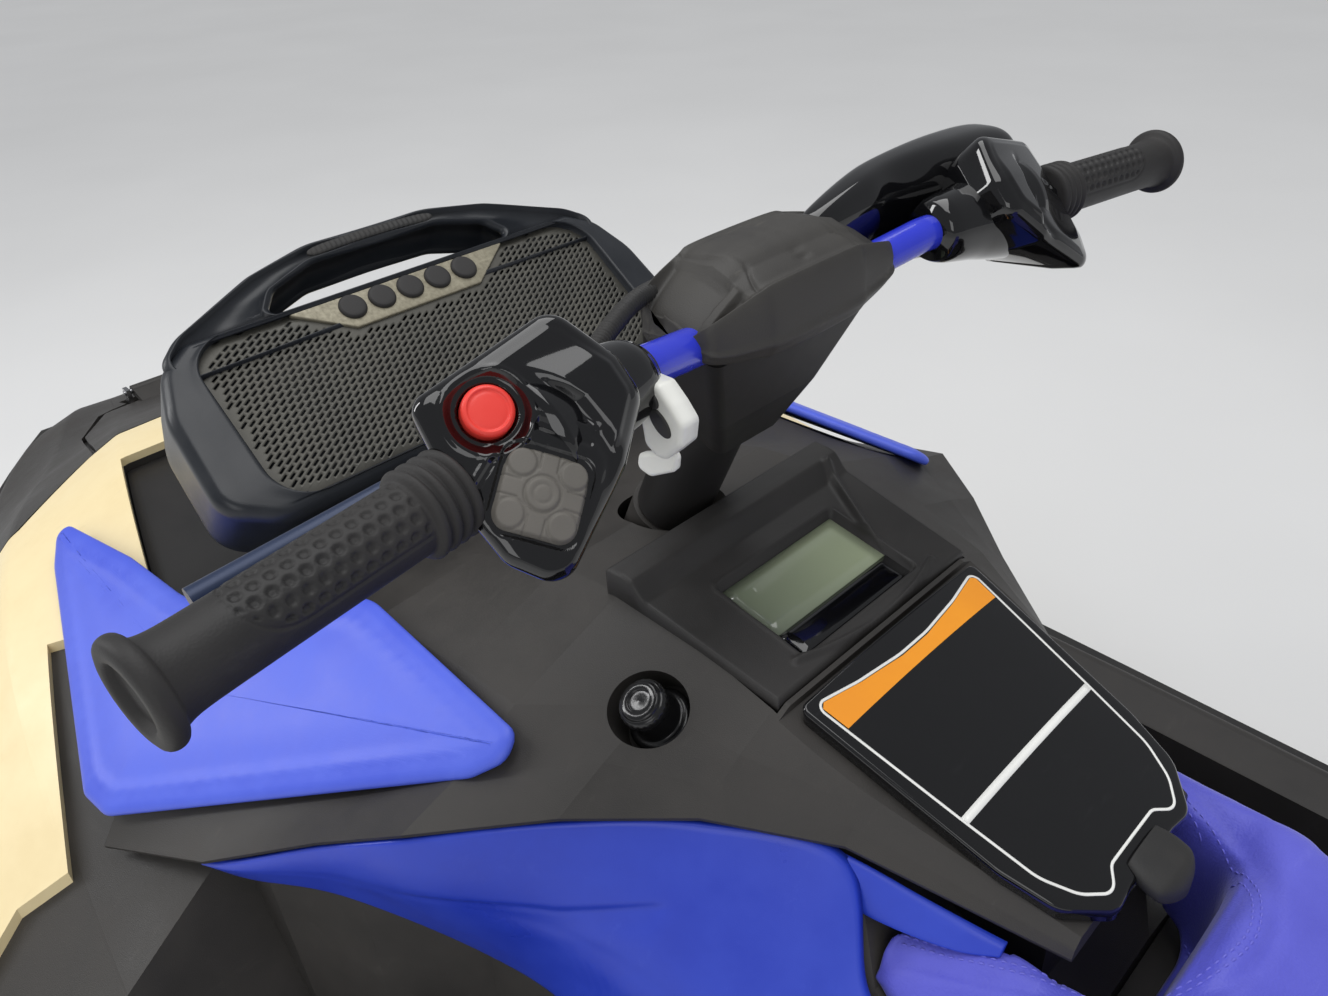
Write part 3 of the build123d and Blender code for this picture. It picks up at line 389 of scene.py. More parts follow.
looks = {
    "blackPlastic": dict(colour=(50, 48, 46), colour2=(60, 57, 54), rough=0.52, grain=1500.0, bump=0.35,
                         scuffs=0.25, scuffColour=(92, 88, 82)),
    "panelPlastic": dict(colour=(40, 39, 38), colour2=(48, 46, 45), rough=0.5, grain=1500.0, bump=0.3,
                         scuffs=0.2, scuffColour=(80, 77, 72)),
    "darkPlastic": dict(colour=(30, 29, 29), colour2=(38, 36, 35), rough=0.5, grain=1500.0, bump=0.3,
                        scuffs=0.2),
    "blackRubber": dict(colour=(40, 40, 40), colour2=(52, 50, 48), rough=0.62, grain=700.0, bump=0.3,
                        scuffs=0.4, scuffColour=(88, 84, 78)),
    "grilleCloth": dict(colour=(70, 69, 64), colour2=(88, 86, 79), rough=0.45, metallic=0.25, grain=500.0,
                        bump=0.12, scuffs=0.3, scuffColour=(120, 117, 106)),
    "speakerShell": dict(colour=(30, 33, 38), colour2=(38, 41, 46), rough=0.36, grain=1200.0, bump=0.14,
                         scuffs=0.15, scuffColour=(70, 72, 76)),
    "gripRubber": dict(colour=(38, 37, 37), colour2=(48, 46, 45), rough=0.6, grain=800.0, bump=0.3,
                       scuffs=0.3, scuffColour=(84, 82, 80)),
    "glossBlack": dict(colour=(8, 8, 10), colour2=(11, 11, 13), rough=0.06, roughSpread=0.03, grain=500.0,
                       bump=0.02, scuffs=0.2, scuffColour=(60, 60, 64), coat=0.6, coatRough=0.04),
    "bluePlastic": dict(colour=(70, 90, 212), colour2=(80, 102, 222), rough=0.42, grain=1400.0, bump=0.16,
                        scuffs=0.2, scuffColour=(110, 128, 228)),
    "blueSide": dict(colour=(36, 60, 184), colour2=(44, 70, 196), rough=0.34, grain=1400.0, bump=0.12,
                     scuffs=0.2, scuffColour=(90, 112, 220)),
    "blueTube": dict(colour=(44, 56, 196), colour2=(50, 62, 206), rough=0.24, grain=600.0, bump=0.05,
                     scuffs=0.1, coat=0.3, coatRough=0.1),
    "sandPlastic": dict(colour=(240, 222, 176), colour2=(232, 212, 164), rough=0.4, grain=1400.0, bump=0.12,
                        scuffs=0.25, scuffColour=(200, 182, 140)),
    "steel": dict(colour=(190, 190, 192), colour2=(170, 170, 174), rough=0.28, metallic=1.0, grain=400.0,
                  bump=0.1),
    "aluminium": dict(colour=(188, 190, 192), colour2=(160, 162, 166), rough=0.42, metallic=1.0,
                      grain=500.0, bump=0.25, cloud=30.0),
    "castMetal": dict(colour=(96, 96, 98), colour2=(76, 76, 78), rough=0.6, metallic=0.6, grain=300.0,
                      bump=0.5),
    "silverStrip": dict(colour=(158, 152, 132), colour2=(128, 122, 104), rough=0.4, metallic=0.35,
                        grain=300.0, bump=0.1, cloud=260.0, scuffs=0.5, scuffColour=(190, 184, 160)),
    "redButton": dict(colour=(226, 52, 44), colour2=(236, 68, 58), rough=0.3, grain=500.0, bump=0.08,
                      scuffs=0.4, scuffColour=(244, 120, 108)),
    "keypadGrey": dict(colour=(94, 91, 85), colour2=(104, 100, 94), rough=0.55, grain=1100.0, bump=0.18),
    "navyLever": dict(colour=(40, 52, 78), colour2=(48, 60, 88), rough=0.35, metallic=0.3, grain=500.0,
                      bump=0.05),
    "paleClip": dict(colour=(236, 236, 230), colour2=(222, 222, 214), rough=0.35, grain=600.0, bump=0.06),
    "padRubber": dict(colour=(52, 50, 48), colour2=(64, 62, 58), rough=0.55, grain=1300.0, bump=0.3,
                      scuffs=0.5, scuffColour=(112, 108, 98)),
    "glossRubber": dict(colour=(16, 16, 17), colour2=(24, 24, 25), rough=0.22, grain=700.0, bump=0.08,
                        coat=0.3, coatRough=0.12),
    "matFoam": dict(colour=(54, 54, 56), colour2=(64, 64, 66), rough=0.75, grain=600.0, bump=0.5,
                    scuffColour=(90, 90, 92)),
    "labelOrange": dict(colour=(244, 158, 44), colour2=(238, 150, 38), rough=0.16, grain=500.0, bump=0.02,
                        scuffColour=(250, 190, 100)),
    "labelWhite": dict(colour=(236, 236, 232), colour2=(226, 226, 222), rough=0.16, grain=500.0, bump=0.02),
    "blueVinyl": dict(colour=(74, 76, 188), colour2=(88, 90, 204), rough=0.5, grain=620.0, bump=0.55,
                      bumpDepth=0.0003, cloud=9.0, scuffs=0.3, scuffColour=(126, 126, 224), sheen=0.15),
    "vinylThread": dict(colour=(112, 112, 214), colour2=(98, 98, 202), rough=0.6, grain=1500.0, bump=0.3),
}
finish = {name: finishMaterial(name, look) for name, look in looks.items()}
print("finishes ready")


# Sand topsides over a dark bottom: sand where height times one more than the distance forward, in
# metres, passes 10 mm
def hullMaterial():
    mat = finishMaterial("hullGelcoat", dict(colour=(240, 222, 176), colour2=(234, 214, 168), rough=0.25,
                                             grain=500.0, bump=0.04, coat=0.4, coatRough=0.08))
    tree = mat.node_tree
    shader = tree.nodes["Principled BSDF"]
    worn = shader.inputs["Base Color"].links[0].from_socket
    coord = addNode(tree, "ShaderNodeTexCoord")
    xyz = addNode(tree, "ShaderNodeSeparateXYZ", [(0, coord.outputs["Object"])])
    along, high = xyz.outputs["X"], xyz.outputs["Z"]
    border = addNode(tree, "ShaderNodeMath", [(0, along), (1, high), (2, high)], operation="MULTIPLY_ADD")
    above = addNode(tree, "ShaderNodeMapRange", [("Value", border.outputs[0])], in_From_Min=0.009,
                    in_From_Max=0.011)
    two = addNode(tree, "ShaderNodeMix", [("Factor", above.outputs[0]), (7, worn)], data_type="RGBA")
    two.inputs[6].default_value = linear((46, 45, 45))
    tree.links.new(two.outputs[2], shader.inputs["Base Color"])
    return mat


# Display glass under a clear coat, its grey carrying painted shading: lighter to starboard, darker to port
def shadedDisplayMaterial():
    mat = bpy.data.materials.new("displayGlassPaintedShade")
    mat.use_nodes = True
    tree = mat.node_tree
    shader = tree.nodes["Principled BSDF"]
    coord = addNode(tree, "ShaderNodeTexCoord")
    xyz = addNode(tree, "ShaderNodeSeparateXYZ", [(0, coord.outputs["Object"])])
    # painted shading: the display's grey runs from light at starboard to dark at port
    fade = addNode(tree, "ShaderNodeMapRange", [("Value", xyz.outputs["Y"])], in_From_Min=-0.058,
                   in_From_Max=0.058)
    tint = addNode(tree, "ShaderNodeMix", [("Factor", fade.outputs[0])], data_type="RGBA")
    tint.inputs[6].default_value = linear((150, 160, 132))
    tint.inputs[7].default_value = linear((96, 104, 88))
    tree.links.new(tint.outputs[2], shader.inputs["Base Color"])
    shader.inputs["Roughness"].default_value = 0.2
    shader.inputs["Coat Weight"].default_value = 0.8
    shader.inputs["Coat Roughness"].default_value = 0.03
    return mat


finish["hullGelcoat"] = hullMaterial()
finish["displayGlassPaintedShade"] = shadedDisplayMaterial()

nodeFinish = {
    "hullGelcoat": ["hull"],
    "blackPlastic": ["deck", "console_base", "console_cover", "seat_base", "nose_cover", "front_lid",
                     "steering_sleeve", "storage_tub", "glovebox_tub", "ride_plate", "sponson_left",
                     "sponson_right"],
    "darkPlastic": ["speaker_base", "gauge_housing", "steering_neck", "key_post"],
    "blackRubber": ["bumper_rail", "centre_pad", "grab_handle", "conduit", "speaker_body"],
    "sandPlastic": ["hood_fairing"],
    "bluePlastic": ["wing_panel_left", "wing_panel_right"],
    "blueSide": ["side_panel_left", "side_panel_right"],
    "blueVinyl": ["seat_front", "seat_rear"],
    "matFoam": ["footwell_mat_left", "footwell_mat_right", "platform_mat"],
    "castMetal": ["engine_block"],
    "aluminium": ["pump_housing", "steering_nozzle", "reverse_bucket", "intake_grate"],
    "steel": ["drive_shaft", "impeller", "bow_eye", "tow_eye", "lid_hinge_pin"],
    "glossBlack": ["pod_left", "pod_right", "glovebox_lid"],
    "gripRubber": ["grip_left", "grip_right"],
    "navyLever": ["brake_lever", "throttle_lever"],
    "blueTube": ["handlebar_tube"],
    "displayGlassPaintedShade": ["gauge_glass"],
    "redButton": ["stop_button"],
    "keypadGrey": ["keypad"],
    "silverStrip": ["control_strip"],
    "speakerShell": ["speaker_grille"],
    "paleClip": ["cable_clip"],
}
for name, members in nodeFinish.items():
    for member in members:
        nodes[member].data.materials.clear()
        nodes[member].data.materials.append(finish[name])


# Finish, body and the CAD nodes that a piece stands for
def place(obj, body, material, replaced=()):
    obj.data.materials.clear()
    obj.data.materials.append(finish[material])
    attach(obj, body)
    if replaced:
        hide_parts(*replaced)
    return obj


# Camera, lamps and stage

camera = dict(at=(-82.8, 434.9, 1024.6), forward=(0.6132, -0.5739, -0.5428), up=(0.3542, -0.4144, 0.8383),
              lens=28.33, sensor=36.0)


# Camera at its place, looking forward, with its up direction squared to that
def addCamera(settings):
    data = bpy.data.cameras.new("photoCamera")
    data.lens = settings["lens"]
    data.sensor_width = settings["sensor"]
    data.clip_start = 0.01
    back = -unit(settings["forward"])
    up = unit(settings["up"])
    right = unit(np.cross(up, back))
    up = np.cross(back, right)
    turn = np.eye(4)
    turn[:3, 0], turn[:3, 1], turn[:3, 2] = right, up, back
    turn[:3, 3] = np.asarray(settings["at"]) * mm
    obj = bpy.data.objects.new("photoCamera", data)
    obj.matrix_world = Matrix(turn.tolist())
    bpy.context.scene.collection.objects.link(obj)
    bpy.context.scene.camera = obj


# Rectangular lamp that faces a point
def addLamp(name, at, towards, size, power):
    data = bpy.data.lights.new(name, "AREA")
    data.energy = power
    data.shape = "RECTANGLE"
    data.size, data.size_y = size
    obj = bpy.data.objects.new(name, data)
    obj.location = at
    obj.rotation_euler = (Vector(towards) - Vector(at)).to_track_quat("-Z", "Y").to_euler()
    bpy.context.scene.collection.objects.link(obj)


lamps = {
    "softTop": dict(at=(0.6, -0.2, 3.2), towards=(0.3, 0.1, 0.5), size=(1.6, 3.0), power=34),
    "stripFront": dict(at=(2.4, 1.8, 2.2), towards=(0.3, 0.1, 0.6), size=(0.4, 2.2), power=24),
    "softPort": dict(at=(-1.6, 2.6, 1.9), towards=(0.2, 0.2, 0.5), size=(1.6, 1.6), power=12),
}
room = dict(corner=60000, floor=(0.66, 0.66, 0.655, 1), floor2=(0.72, 0.72, 0.715, 1), floorRough=0.85,
            light=(0.93, 0.94, 0.96, 1), lightStrength=0.8, seen=(0.86, 0.87, 0.88, 1), seenStrength=1.0,
            gloss=(0.86, 0.88, 0.92, 1), glossStrength=0.3)


# Pale floor of two near tones, mixed by a slow noise
def stageMaterial(s):
    mat = bpy.data.materials.new("paleFloor")
    mat.use_nodes = True
    tree = mat.node_tree
    shader = tree.nodes["Principled BSDF"]
    coord = addNode(tree, "ShaderNodeTexCoord")
    noise = addNode(tree, "ShaderNodeTexNoise", [("Vector", coord.outputs["Object"])], in_Scale=1.4,
                    in_Detail=3.0)
    tint = addNode(tree, "ShaderNodeMix", [("Factor", noise.outputs["Fac"])], data_type="RGBA")
    tint.inputs[6].default_value = s["floor"]
    tint.inputs[7].default_value = s["floor2"]
    tree.links.new(tint.outputs[2], shader.inputs["Base Color"])
    shader.inputs["Roughness"].default_value = s["floorRough"]
    return mat


# Floor on the waterline, and a world that gives its own light, another tone to the eye and a dimmer one
# to what shines
def addStage(s):
    corner = s["corner"]
    floor = meshObject("stageFloor", [(-corner, -corner, 0), (corner, -corner, 0), (corner, corner, 0),
                                      (-corner, corner, 0)], [(0, 1, 2, 3)], turnOut=False)
    floor.data.materials.append(stageMaterial(s))
    world = bpy.data.worlds.new("paleRoom")
    world.use_nodes = True
    tree = world.node_tree
    light = tree.nodes["Background"]
    light.inputs["Color"].default_value = s["light"]
    light.inputs["Strength"].default_value = s["lightStrength"]
    seen = addNode(tree, "ShaderNodeBackground", in_Strength=s["seenStrength"], in_Color=s["seen"])
    gloss = addNode(tree, "ShaderNodeBackground", in_Strength=s["glossStrength"], in_Color=s["gloss"])
    path = addNode(tree, "ShaderNodeLightPath")
    dimmed = addNode(tree, "ShaderNodeMixShader", [(0, path.outputs["Is Glossy Ray"]), (1, light.outputs[0]),
                                                   (2, gloss.outputs[0])])
    mixed = addNode(tree, "ShaderNodeMixShader", [(0, path.outputs["Is Camera Ray"]), (1, dimmed.outputs[0]),
                                                  (2, seen.outputs[0])])
    tree.links.new(mixed.outputs[0], tree.nodes["World Output"].inputs[0])
    bpy.context.scene.world = world


addCamera(camera)
for name, lamp in lamps.items():
    addLamp(name, **lamp)
addStage(room)
bpy.context.scene.view_settings.view_transform = "Standard"
print("camera and stage ready")

# Conduit from the centre pad to the port pod: a ridged tube that follows its own spline

conduit = dict(route=[(0.334, 0.024, 0.792), (0.314, 0.054, 0.812), (0.292, 0.112, 0.816),
                      (0.262, 0.168, 0.806)],
               radius=4.3, ridge=1.1, pitch=2.6, steps=360, sides=28, diameter=0.0108)


# Curve through the route, divided evenly; its radius waves by the size of a sine, one ridge to a pitch
def conduitPiece(s):
    data = bpy.data.curves.new("conduitRoute", "CURVE")
    data.dimensions = "3D"
    data.resolution_u = 40
    line = data.splines.new("NURBS")
    line.points.add(len(s["route"]) - 1)
    line.points.foreach_set("co", np.column_stack([s["route"], np.ones(len(s["route"]))]).ravel())
    line.order_u = 3
    line.use_endpoint_u = True
    carrier = bpy.data.objects.new("conduitRoute", data)
    bpy.context.scene.collection.objects.link(carrier)
    path = meshPoints(bpy.data.meshes.new_from_object(carrier))
    bpy.data.objects.remove(carrier)
    along = runLength(path)
    even = np.linspace(0, along[-1], s["steps"])
    run = np.stack([np.interp(even, along, path[:, k]) for k in range(3)], -1)
    wave = np.abs(np.sin(even / mm / s["pitch"] * math.pi)) ** 0.7
    tube = tubePiece("conduitTube", run / mm, s["radius"] + s["ridge"] * wave, s["sides"])
    return tube


place(conduitPiece(conduit), "handlebar", "blackRubber", ["conduit"])
print("conduit ready")

# Grips: turned rubber with a flange, a field of hexagonal dimples and ridges beside the pod

grip = dict(tip=(230, 389.5, 790), bend=(262, 121, 800), length=145, radius=16.5, flangeRadius=23,
            flangeWidth=9, bore=13.5, boreDepth=3.6, dimplePitch=7.2, dimpleRadius=2.5, dimpleDepth=1.2,
            fieldStart=39, fieldEnd=119, fieldHalfAngle=1.36, fieldRise=0.25, fieldMargin=2.6,
            grooveDepth=0.6, grooveWidth=0.7, ridgeStart=121, ridgePitch=6, ridges=4, ridgeHeight=4.0,
            neckHeight=2.2, neckLength=4.0, topAt=(-0.25, 0, 1), rows=190, sides=150)


# Distance from each point to the nearest centre of a hexagonal lattice
def hexDistance(u, v, pitch):
    high = pitch * math.sqrt(3)
    best = np.full(u.shape, 1e9)
    for du, dv in ((0, 0), (pitch / 2, high / 2)):
        a = (u - du + pitch / 2) % pitch - pitch / 2
        b = (v - dv + high / 2) % high - high / 2
        best = np.minimum(best, np.hypot(a, b))
    return best


# Radius over distance along the axis and bearing round it: a flange, a neck that falls away, a dimpled
# field in a groove, then ridges; the mouth rows close the end into the bore
def gripPiece(name, s):
    tip, axis = np.array(s["tip"], float), unit(np.subtract(s["bend"], s["tip"]))
    topAt = np.array(s["topAt"], float)
    top = unit(topAt - axis * (topAt @ axis))
    side = np.cross(axis, top)
    along = np.linspace(0, s["length"], s["rows"])
    turn = np.linspace(-math.pi, math.pi, s["sides"], endpoint=False)
    x, a = np.meshgrid(along, turn, indexing="ij")
    halfFlange = s["flangeWidth"] / 2
    arch = np.sqrt(np.clip(1 - ((x - halfFlange) / halfFlange) ** 2, 0, 1))
    flange = (s["flangeRadius"] - s["radius"]) * arch ** 0.55
    neck = s["neckHeight"] * np.exp(-np.clip(x - s["flangeWidth"], 0, None) / s["neckLength"])
    r = s["radius"] + np.maximum(flange, neck)
    step = (x - s["ridgeStart"]) / s["ridgePitch"]
    inRidges = (step > 0) & (step < s["ridges"])
    r += np.where(inRidges, s["ridgeHeight"] * np.abs(np.sin(math.pi * step)) ** 0.6, 0)
    halfWide = s["fieldHalfAngle"] * s["radius"]
    fromStart = (x - s["fieldStart"]) / halfWide
    roundEnd = np.sqrt(np.clip(1 - np.clip(1 - fromStart, 0, 1) ** 2, 0, 1))
    edge = halfWide * roundEnd - np.abs(a) * s["radius"]
    inField = (x > s["fieldStart"]) & (x < s["fieldEnd"])
    groove = bell(np.where(inField, edge, 9), s["grooveWidth"])
    away = hexDistance(x, a * s["radius"], s["dimplePitch"])
    dimple = 1 - softStep(away, s["dimpleRadius"] - 0.8, s["dimpleRadius"])
    inner = inField & (edge > s["fieldMargin"])
    r += np.where(inner, s["fieldRise"] - s["dimpleDepth"] * dimple, 0) - s["grooveDepth"] * groove * inField
    outward = top * np.cos(a)[..., None] + side * np.sin(a)[..., None]
    rings = tip + axis * x[..., None] + r[..., None] * outward
    mouth = [(s["boreDepth"], 9), (s["boreDepth"], s["bore"] - 0.5), (3, s["bore"]), (0.8, s["bore"] + 0.6),
             (0, s["bore"] + 2), (0, s["flangeRadius"] - 4)]
    mouthRings = np.array([tip + axis * depth + outward[0] * radius for depth, radius in mouth])
    return ringSurface(name, np.concatenate([mouthRings, rings[1:]]))


gripLeft = gripPiece("gripLeft", grip)
gripRight = mirrored(gripLeft, "gripRight")
place(gripLeft, "handlebar", "gripRubber", ["grip_left"])
place(gripRight, "handlebar", "gripRubber", ["grip_right"])
print("grips ready")

# Control pods: a gloss shell whose sections shrink behind the face, and the collar where the bar enters

pod = dict(
    origin=(249, 190, 834), across=(0.185, 0.968, -0.167), normal=(-0.719, 0.25, 0.649), depth=52,
    corners=[(-16, -20, 13), (60, -10, 9), (63, 34, 14), (58, 68, 16), (46, 84, 12), (36, 86, 12),
             (-9, 57, 14), (-33, 33, 14), (-32, 13, 12)],
    depths=[0, 6, 20, 52], shrinkTop=[0.6, 0, 2, 12], shrinkFoot=[0.6, 0, 8, 34], middle=(14, 20), reach=60,
    rimRadius=5, crownHeight=3.2, creaseDown=[-6, 8.7, 22.6, 39.1, 49.4, 61, 74],
    creaseAcross=[14, 3, -4.9, -7.7, -8.1, -1.9, 12], creaseStart=(-4, 16), creaseEnd=(60, 78),
    shoulderHeight=3.4, shoulderHalf=3.5, hollow=(5, 1.6, 3.4),  # hollow: how far outboard, depth, width
    lines=[((14, 20), (-3, 36), 1.3, 2.2), ((17, 24), (2, 41), -1.2, 2.0), ((53, 32), (39, 24), 1.0, 1.8),
           ((55, 36), (43, 29), -0.9, 1.6)],  # start, end, rise and width of each short crease
    button=(33, 9), buttonRadius=11.5, seatRadius=19, seatDepth=3.0, seatRing=0.9, buttonBore=6,
    keypad=(31.6, 50.4), keypadHalf=19, keypadBed=1.6, crownAt=(14, 34), crownHalf=(60, 70),
    collar=[(128, 17.5), (134, 20.5), (142, 22), (160, 24.5), (180, 28.5), (205, 33)])
podPlane = Plane(pod["origin"], pod["across"], pod["normal"])


# Point on the straight outer run of the bar: the line from bend to grip end, at this distance across
def barPoint(y):
    bend, end = np.array(grip["bend"], float), np.array(grip["tip"], float)
    t = (np.asarray(y, float) - bend[1]) / (end[1] - bend[1])
    return bend + np.asarray(t)[..., None] * (end - bend)


# Face outline scaled about its middle; the scale falls with depth, and faster towards the foot
def podSection(outline, depth, s):
    middle = np.array(s["middle"], float)
    share = np.clip((outline[:, 1] - middle[1]) / s["reach"], 0, 1)
    top = np.interp(depth, s["depths"], s["shrinkTop"])
    foot = np.interp(depth, s["depths"], s["shrinkFoot"])
    scale = 1 - (top + (foot - top) * share) / s["reach"]
    return middle + (outline - middle) * scale[:, None]


# Distance of points from a straight line between two ends
def segmentDistance(ab, start, end):
    start, along = np.array(start, float), np.subtract(end, start).astype(float)
    t = np.clip(((ab - start) @ along) / (along @ along), 0, 1)
    return np.linalg.norm(ab - start - t[..., None] * along, axis=-1)


# Coordinates along the sides of a square that stands on its corner
def turned45(ab, centre):
    d = ab - np.array(centre, float)
    return (d[..., 0] + d[..., 1]) / math.sqrt(2), (d[..., 1] - d[..., 0]) / math.sqrt(2)


# Signed distance to a rounded rectangle: negative inside
def roundedBox(u, v, halfU, halfV, radius):
    x, y = np.abs(u) - halfU + radius, np.abs(v) - halfV + radius
    return np.hypot(np.maximum(x, 0), np.maximum(y, 0)) + np.minimum(np.maximum(x, y), 0) - radius


# Height of the pod face: a shoulder inboard of the long crease, the short creases, the button's seat and
# ring, the keypad's bed, and over all a crown that falls with the square of the distance
def podRelief(s, withControls):
    # One point of the face or a whole array of them, as (a, b) in the pod's plane
    def height(ab):
        a, b = ab[..., 0], ab[..., 1]
        crease = np.interp(b, s["creaseDown"], s["creaseAcross"])
        fade = softStep(b, *s["creaseStart"]) * (1 - softStep(b, *s["creaseEnd"]))
        h = s["shoulderHeight"] * softStep(crease - a, -s["shoulderHalf"], s["shoulderHalf"]) * fade
        out, depth, width = s["hollow"]
        h = h - depth * bell(a - crease - out, width) * fade
        for start, end, rise, width in s["lines"]:
            h = h + rise * bell(segmentDistance(ab, start, end), width)
        if withControls:
            away = np.linalg.norm(ab - np.array(s["button"]), axis=-1)
            h = h - s["seatDepth"] * (1 - softStep(away, s["seatRadius"] - 4.5, s["seatRadius"]))
            h = h + s["seatRing"] * bell(away - s["seatRadius"] - 0.6, 1.3)
            bore = 1 - softStep(away, s["buttonRadius"] + 0.3, s["buttonRadius"] + 1.2)
            h = h - s["buttonBore"] * bore
            halfBed = s["keypadHalf"] + 1.2
            bed = roundedBox(*turned45(ab, s["keypad"]), halfBed, halfBed, 8)
            h = h - s["keypadBed"] * (1 - softStep(bed, -0.6, 1.0))
        crownA, crownB = (a - s["crownAt"][0]) / s["crownHalf"][0], (b - s["crownAt"][1]) / s["crownHalf"][1]
        return h + s["crownHeight"] * (1 - crownA ** 2 - crownB ** 2)
    return height


# Rows from the back of the shell forward, round the rim's quarter circle, then over the face to its middle
def podPiece(name, s, withControls):
    outline = roundedOutline(s["corners"], 300)
    height = podRelief(s, withControls)
    back = podSection(outline, s["depth"], s)
    centre = back.mean(0)
    rows = [podPlane.lift(centre + (back - centre) * k, -s["depth"]) for k in (0.02, 0.5, 0.9)]
    r = s["rimRadius"]
    rows += [podPlane.lift(podSection(outline, d, s), -d) for d in np.linspace(s["depth"] - 1, r + 3, 12)]
    for t in np.linspace(0, math.pi / 2, 8):
        ab = inset(podSection(outline, r - r * math.sin(t), s), r * (1 - math.cos(t)))
        rows.append(podPlane.lift(ab, r * math.sin(t) - r + height(ab) * 0.5 * (1 - math.cos(t))))
    face, middle = inset(outline, r), np.array(s["middle"])
    for k in np.linspace(0, 1, 62)[1:]:
        ab = middle + (face - middle) * (1 - 0.995 * k)
        rows.append(podPlane.lift(ab, height(ab) * (0.5 + 0.5 * softStep(k, 0, 0.12))))
    shell = ringSurface(name + "Shell", rows)
    y, radius = zip(*s["collar"])
    ys = np.linspace(y[0], y[-1], 24)
    collar = tubePiece(name + "Collar", barPoint(ys), np.interp(ys, y, radius), 64)
    return joinPieces(name, [shell, collar])


podLeft = podPiece("podLeft", pod, True)
place(podLeft, "handlebar", "glossBlack", ["pod_left"])


# Turned red button with a rolled rim and a very shallow dish
def stopButton(s):
    r = s["buttonRadius"]
    profile = [(-8, r - 1), (-7, r), (1.0, r), (2.9, r - 0.5), (3.8, r - 1.5), (3.9, r - 2.2), (3.3, r - 2.9),
               (3.2, r - 3.6), (3.5, r - 5), (3.7, 3), (3.7, 0)]
    return turnedPiece("stopButton", podPlane.lift(np.array(s["button"], float)), s["normal"],
                       spline(profile, 60), 96)


place(stopButton(pod), "handlebar", "redButton", ["stop_button"])

keypad = dict(half=18.4, radius=7.5, thickness=3.4, crown=1.2, edgeDrop=2.2, cornerAt=11.4, cornerRadius=6.4,
              cornerRise=0.55, cornerGroove=0.5, centreRadius=7.6, centreRise=0.7, centreGroove=0.6,
              dishDepth=0.35, grooveAt=3.9, grooveFrom=9.4, grooveDepth=0.7, foot=-1.5, cells=98)


# Round key: raised inside its radius, with a groove round it; away is the distance from that radius
def keyRelief(away, rise, groove):
    return rise * (1 - softStep(away, -1.2, -0.2)) - groove * bell(away - 0.3, 0.5)


# Rubber pad: a grid squeezed into the rounded square, raised corner and centre keys between grooves
def keypadPiece(s):
    t = np.linspace(-1, 1, s["cells"])
    u, v = np.meshgrid(t, t, indexing="ij")
    reach = np.maximum(np.abs(u), np.abs(v))
    inside = s["half"] - s["radius"]
    edgeU, edgeV = u / np.maximum(reach, 1e-6) * s["half"], v / np.maximum(reach, 1e-6) * s["half"]
    cornerU, cornerV = np.clip(edgeU, -inside, inside), np.clip(edgeV, -inside, inside)
    out = np.stack([edgeU - cornerU, edgeV - cornerV], -1)
    length = np.linalg.norm(out, axis=-1, keepdims=True)
    edge = np.stack([cornerU, cornerV], -1) + out / np.maximum(length, 1e-9) * s["radius"]
    uv = edge * reach[..., None]
    u, v = uv[..., 0], uv[..., 1]
    border = roundedBox(u, v, s["half"], s["half"], s["radius"])
    h = s["thickness"] + s["crown"] * (1 - (np.hypot(u, v) / s["half"]) ** 2)
    h = h - s["edgeDrop"] * softStep(border, -2.2, 0.05) ** 2
    for cu, cv in ((-1, -1), (-1, 1), (1, -1), (1, 1)):
        away = np.hypot(u - cu * s["cornerAt"], v - cv * s["cornerAt"]) - s["cornerRadius"]
        h = h + keyRelief(away, s["cornerRise"], s["cornerGroove"])
    away = np.hypot(u, v) - s["centreRadius"]
    h = h + keyRelief(away, s["centreRise"], s["centreGroove"]) - s["dishDepth"] * bell(away + 3.6, 0.8)
    for p, q in ((u, v), (v, u)):
        line = bell(np.abs(p) - s["grooveAt"], 0.42)
        h = h - s["grooveDepth"] * line * softStep(np.abs(q), s["grooveFrom"], s["grooveFrom"] + 1)
    turn = math.sqrt(0.5)
    ab = np.stack([(u - v) * turn, (u + v) * turn], -1) + np.array(pod["keypad"])
    points = [podPlane.lift(ab, h).reshape(-1, 3), podPlane.lift(ab, s["foot"]).reshape(-1, 3)]
    return meshObject("keypadPiece", np.vstack(points), blockFaces(s["cells"], s["cells"]))


place(keypadPiece(keypad), "handlebar", "keypadGrey", ["keypad"])
print("port pod ready")

cowl = dict(y=[40, 58, 100, 135, 190, 235, 246], rear=[298, 288, 284, 284, 268, 262, 276],
            front=[306, 310, 318, 322, 322, 316, 304], low=[798, 786, 774, 768, 763, 762, 776],
            high=[812, 824, 834, 838, 842, 840, 826], power=0.72, ridge=3.0, ridgeAt=0.35, ridgeWidth=0.25,
            rows=60, sides=96)


# Cowl in front of the bar: squared ellipses whose size follows smooth curves across the craft
def cowlPiece(name, s, side):
    rows = spline(np.stack([s["y"], s["rear"], s["front"], s["low"], s["high"]], -1), s["rows"])
    cx, cz = squaredCircle(s["sides"], s["power"], s["power"])
    y, rear, front, low, high = rows.T[:, :, None]
    x = (rear + front) / 2 + (front - rear) / 2 * cx
    z = (low + high) / 2 + (high - low) / 2 * cz
    z = z + s["ridge"] * bell(cz - s["ridgeAt"], s["ridgeWidth"]) * (cx < 0)
    return ringSurface(name, np.stack([x, side * np.broadcast_to(y, x.shape), z], -1))


podCopy = mirrored(podPiece("podPlain", pod, False), "podRightShell")
bpy.data.objects.remove(bpy.data.objects["podPlain"])
podRight = joinPieces("podRight", [podCopy, cowlPiece("podRightCowl", cowl, -1)])
place(podRight, "handlebar", "glossBlack", ["pod_right"])
print("starboard pod ready")

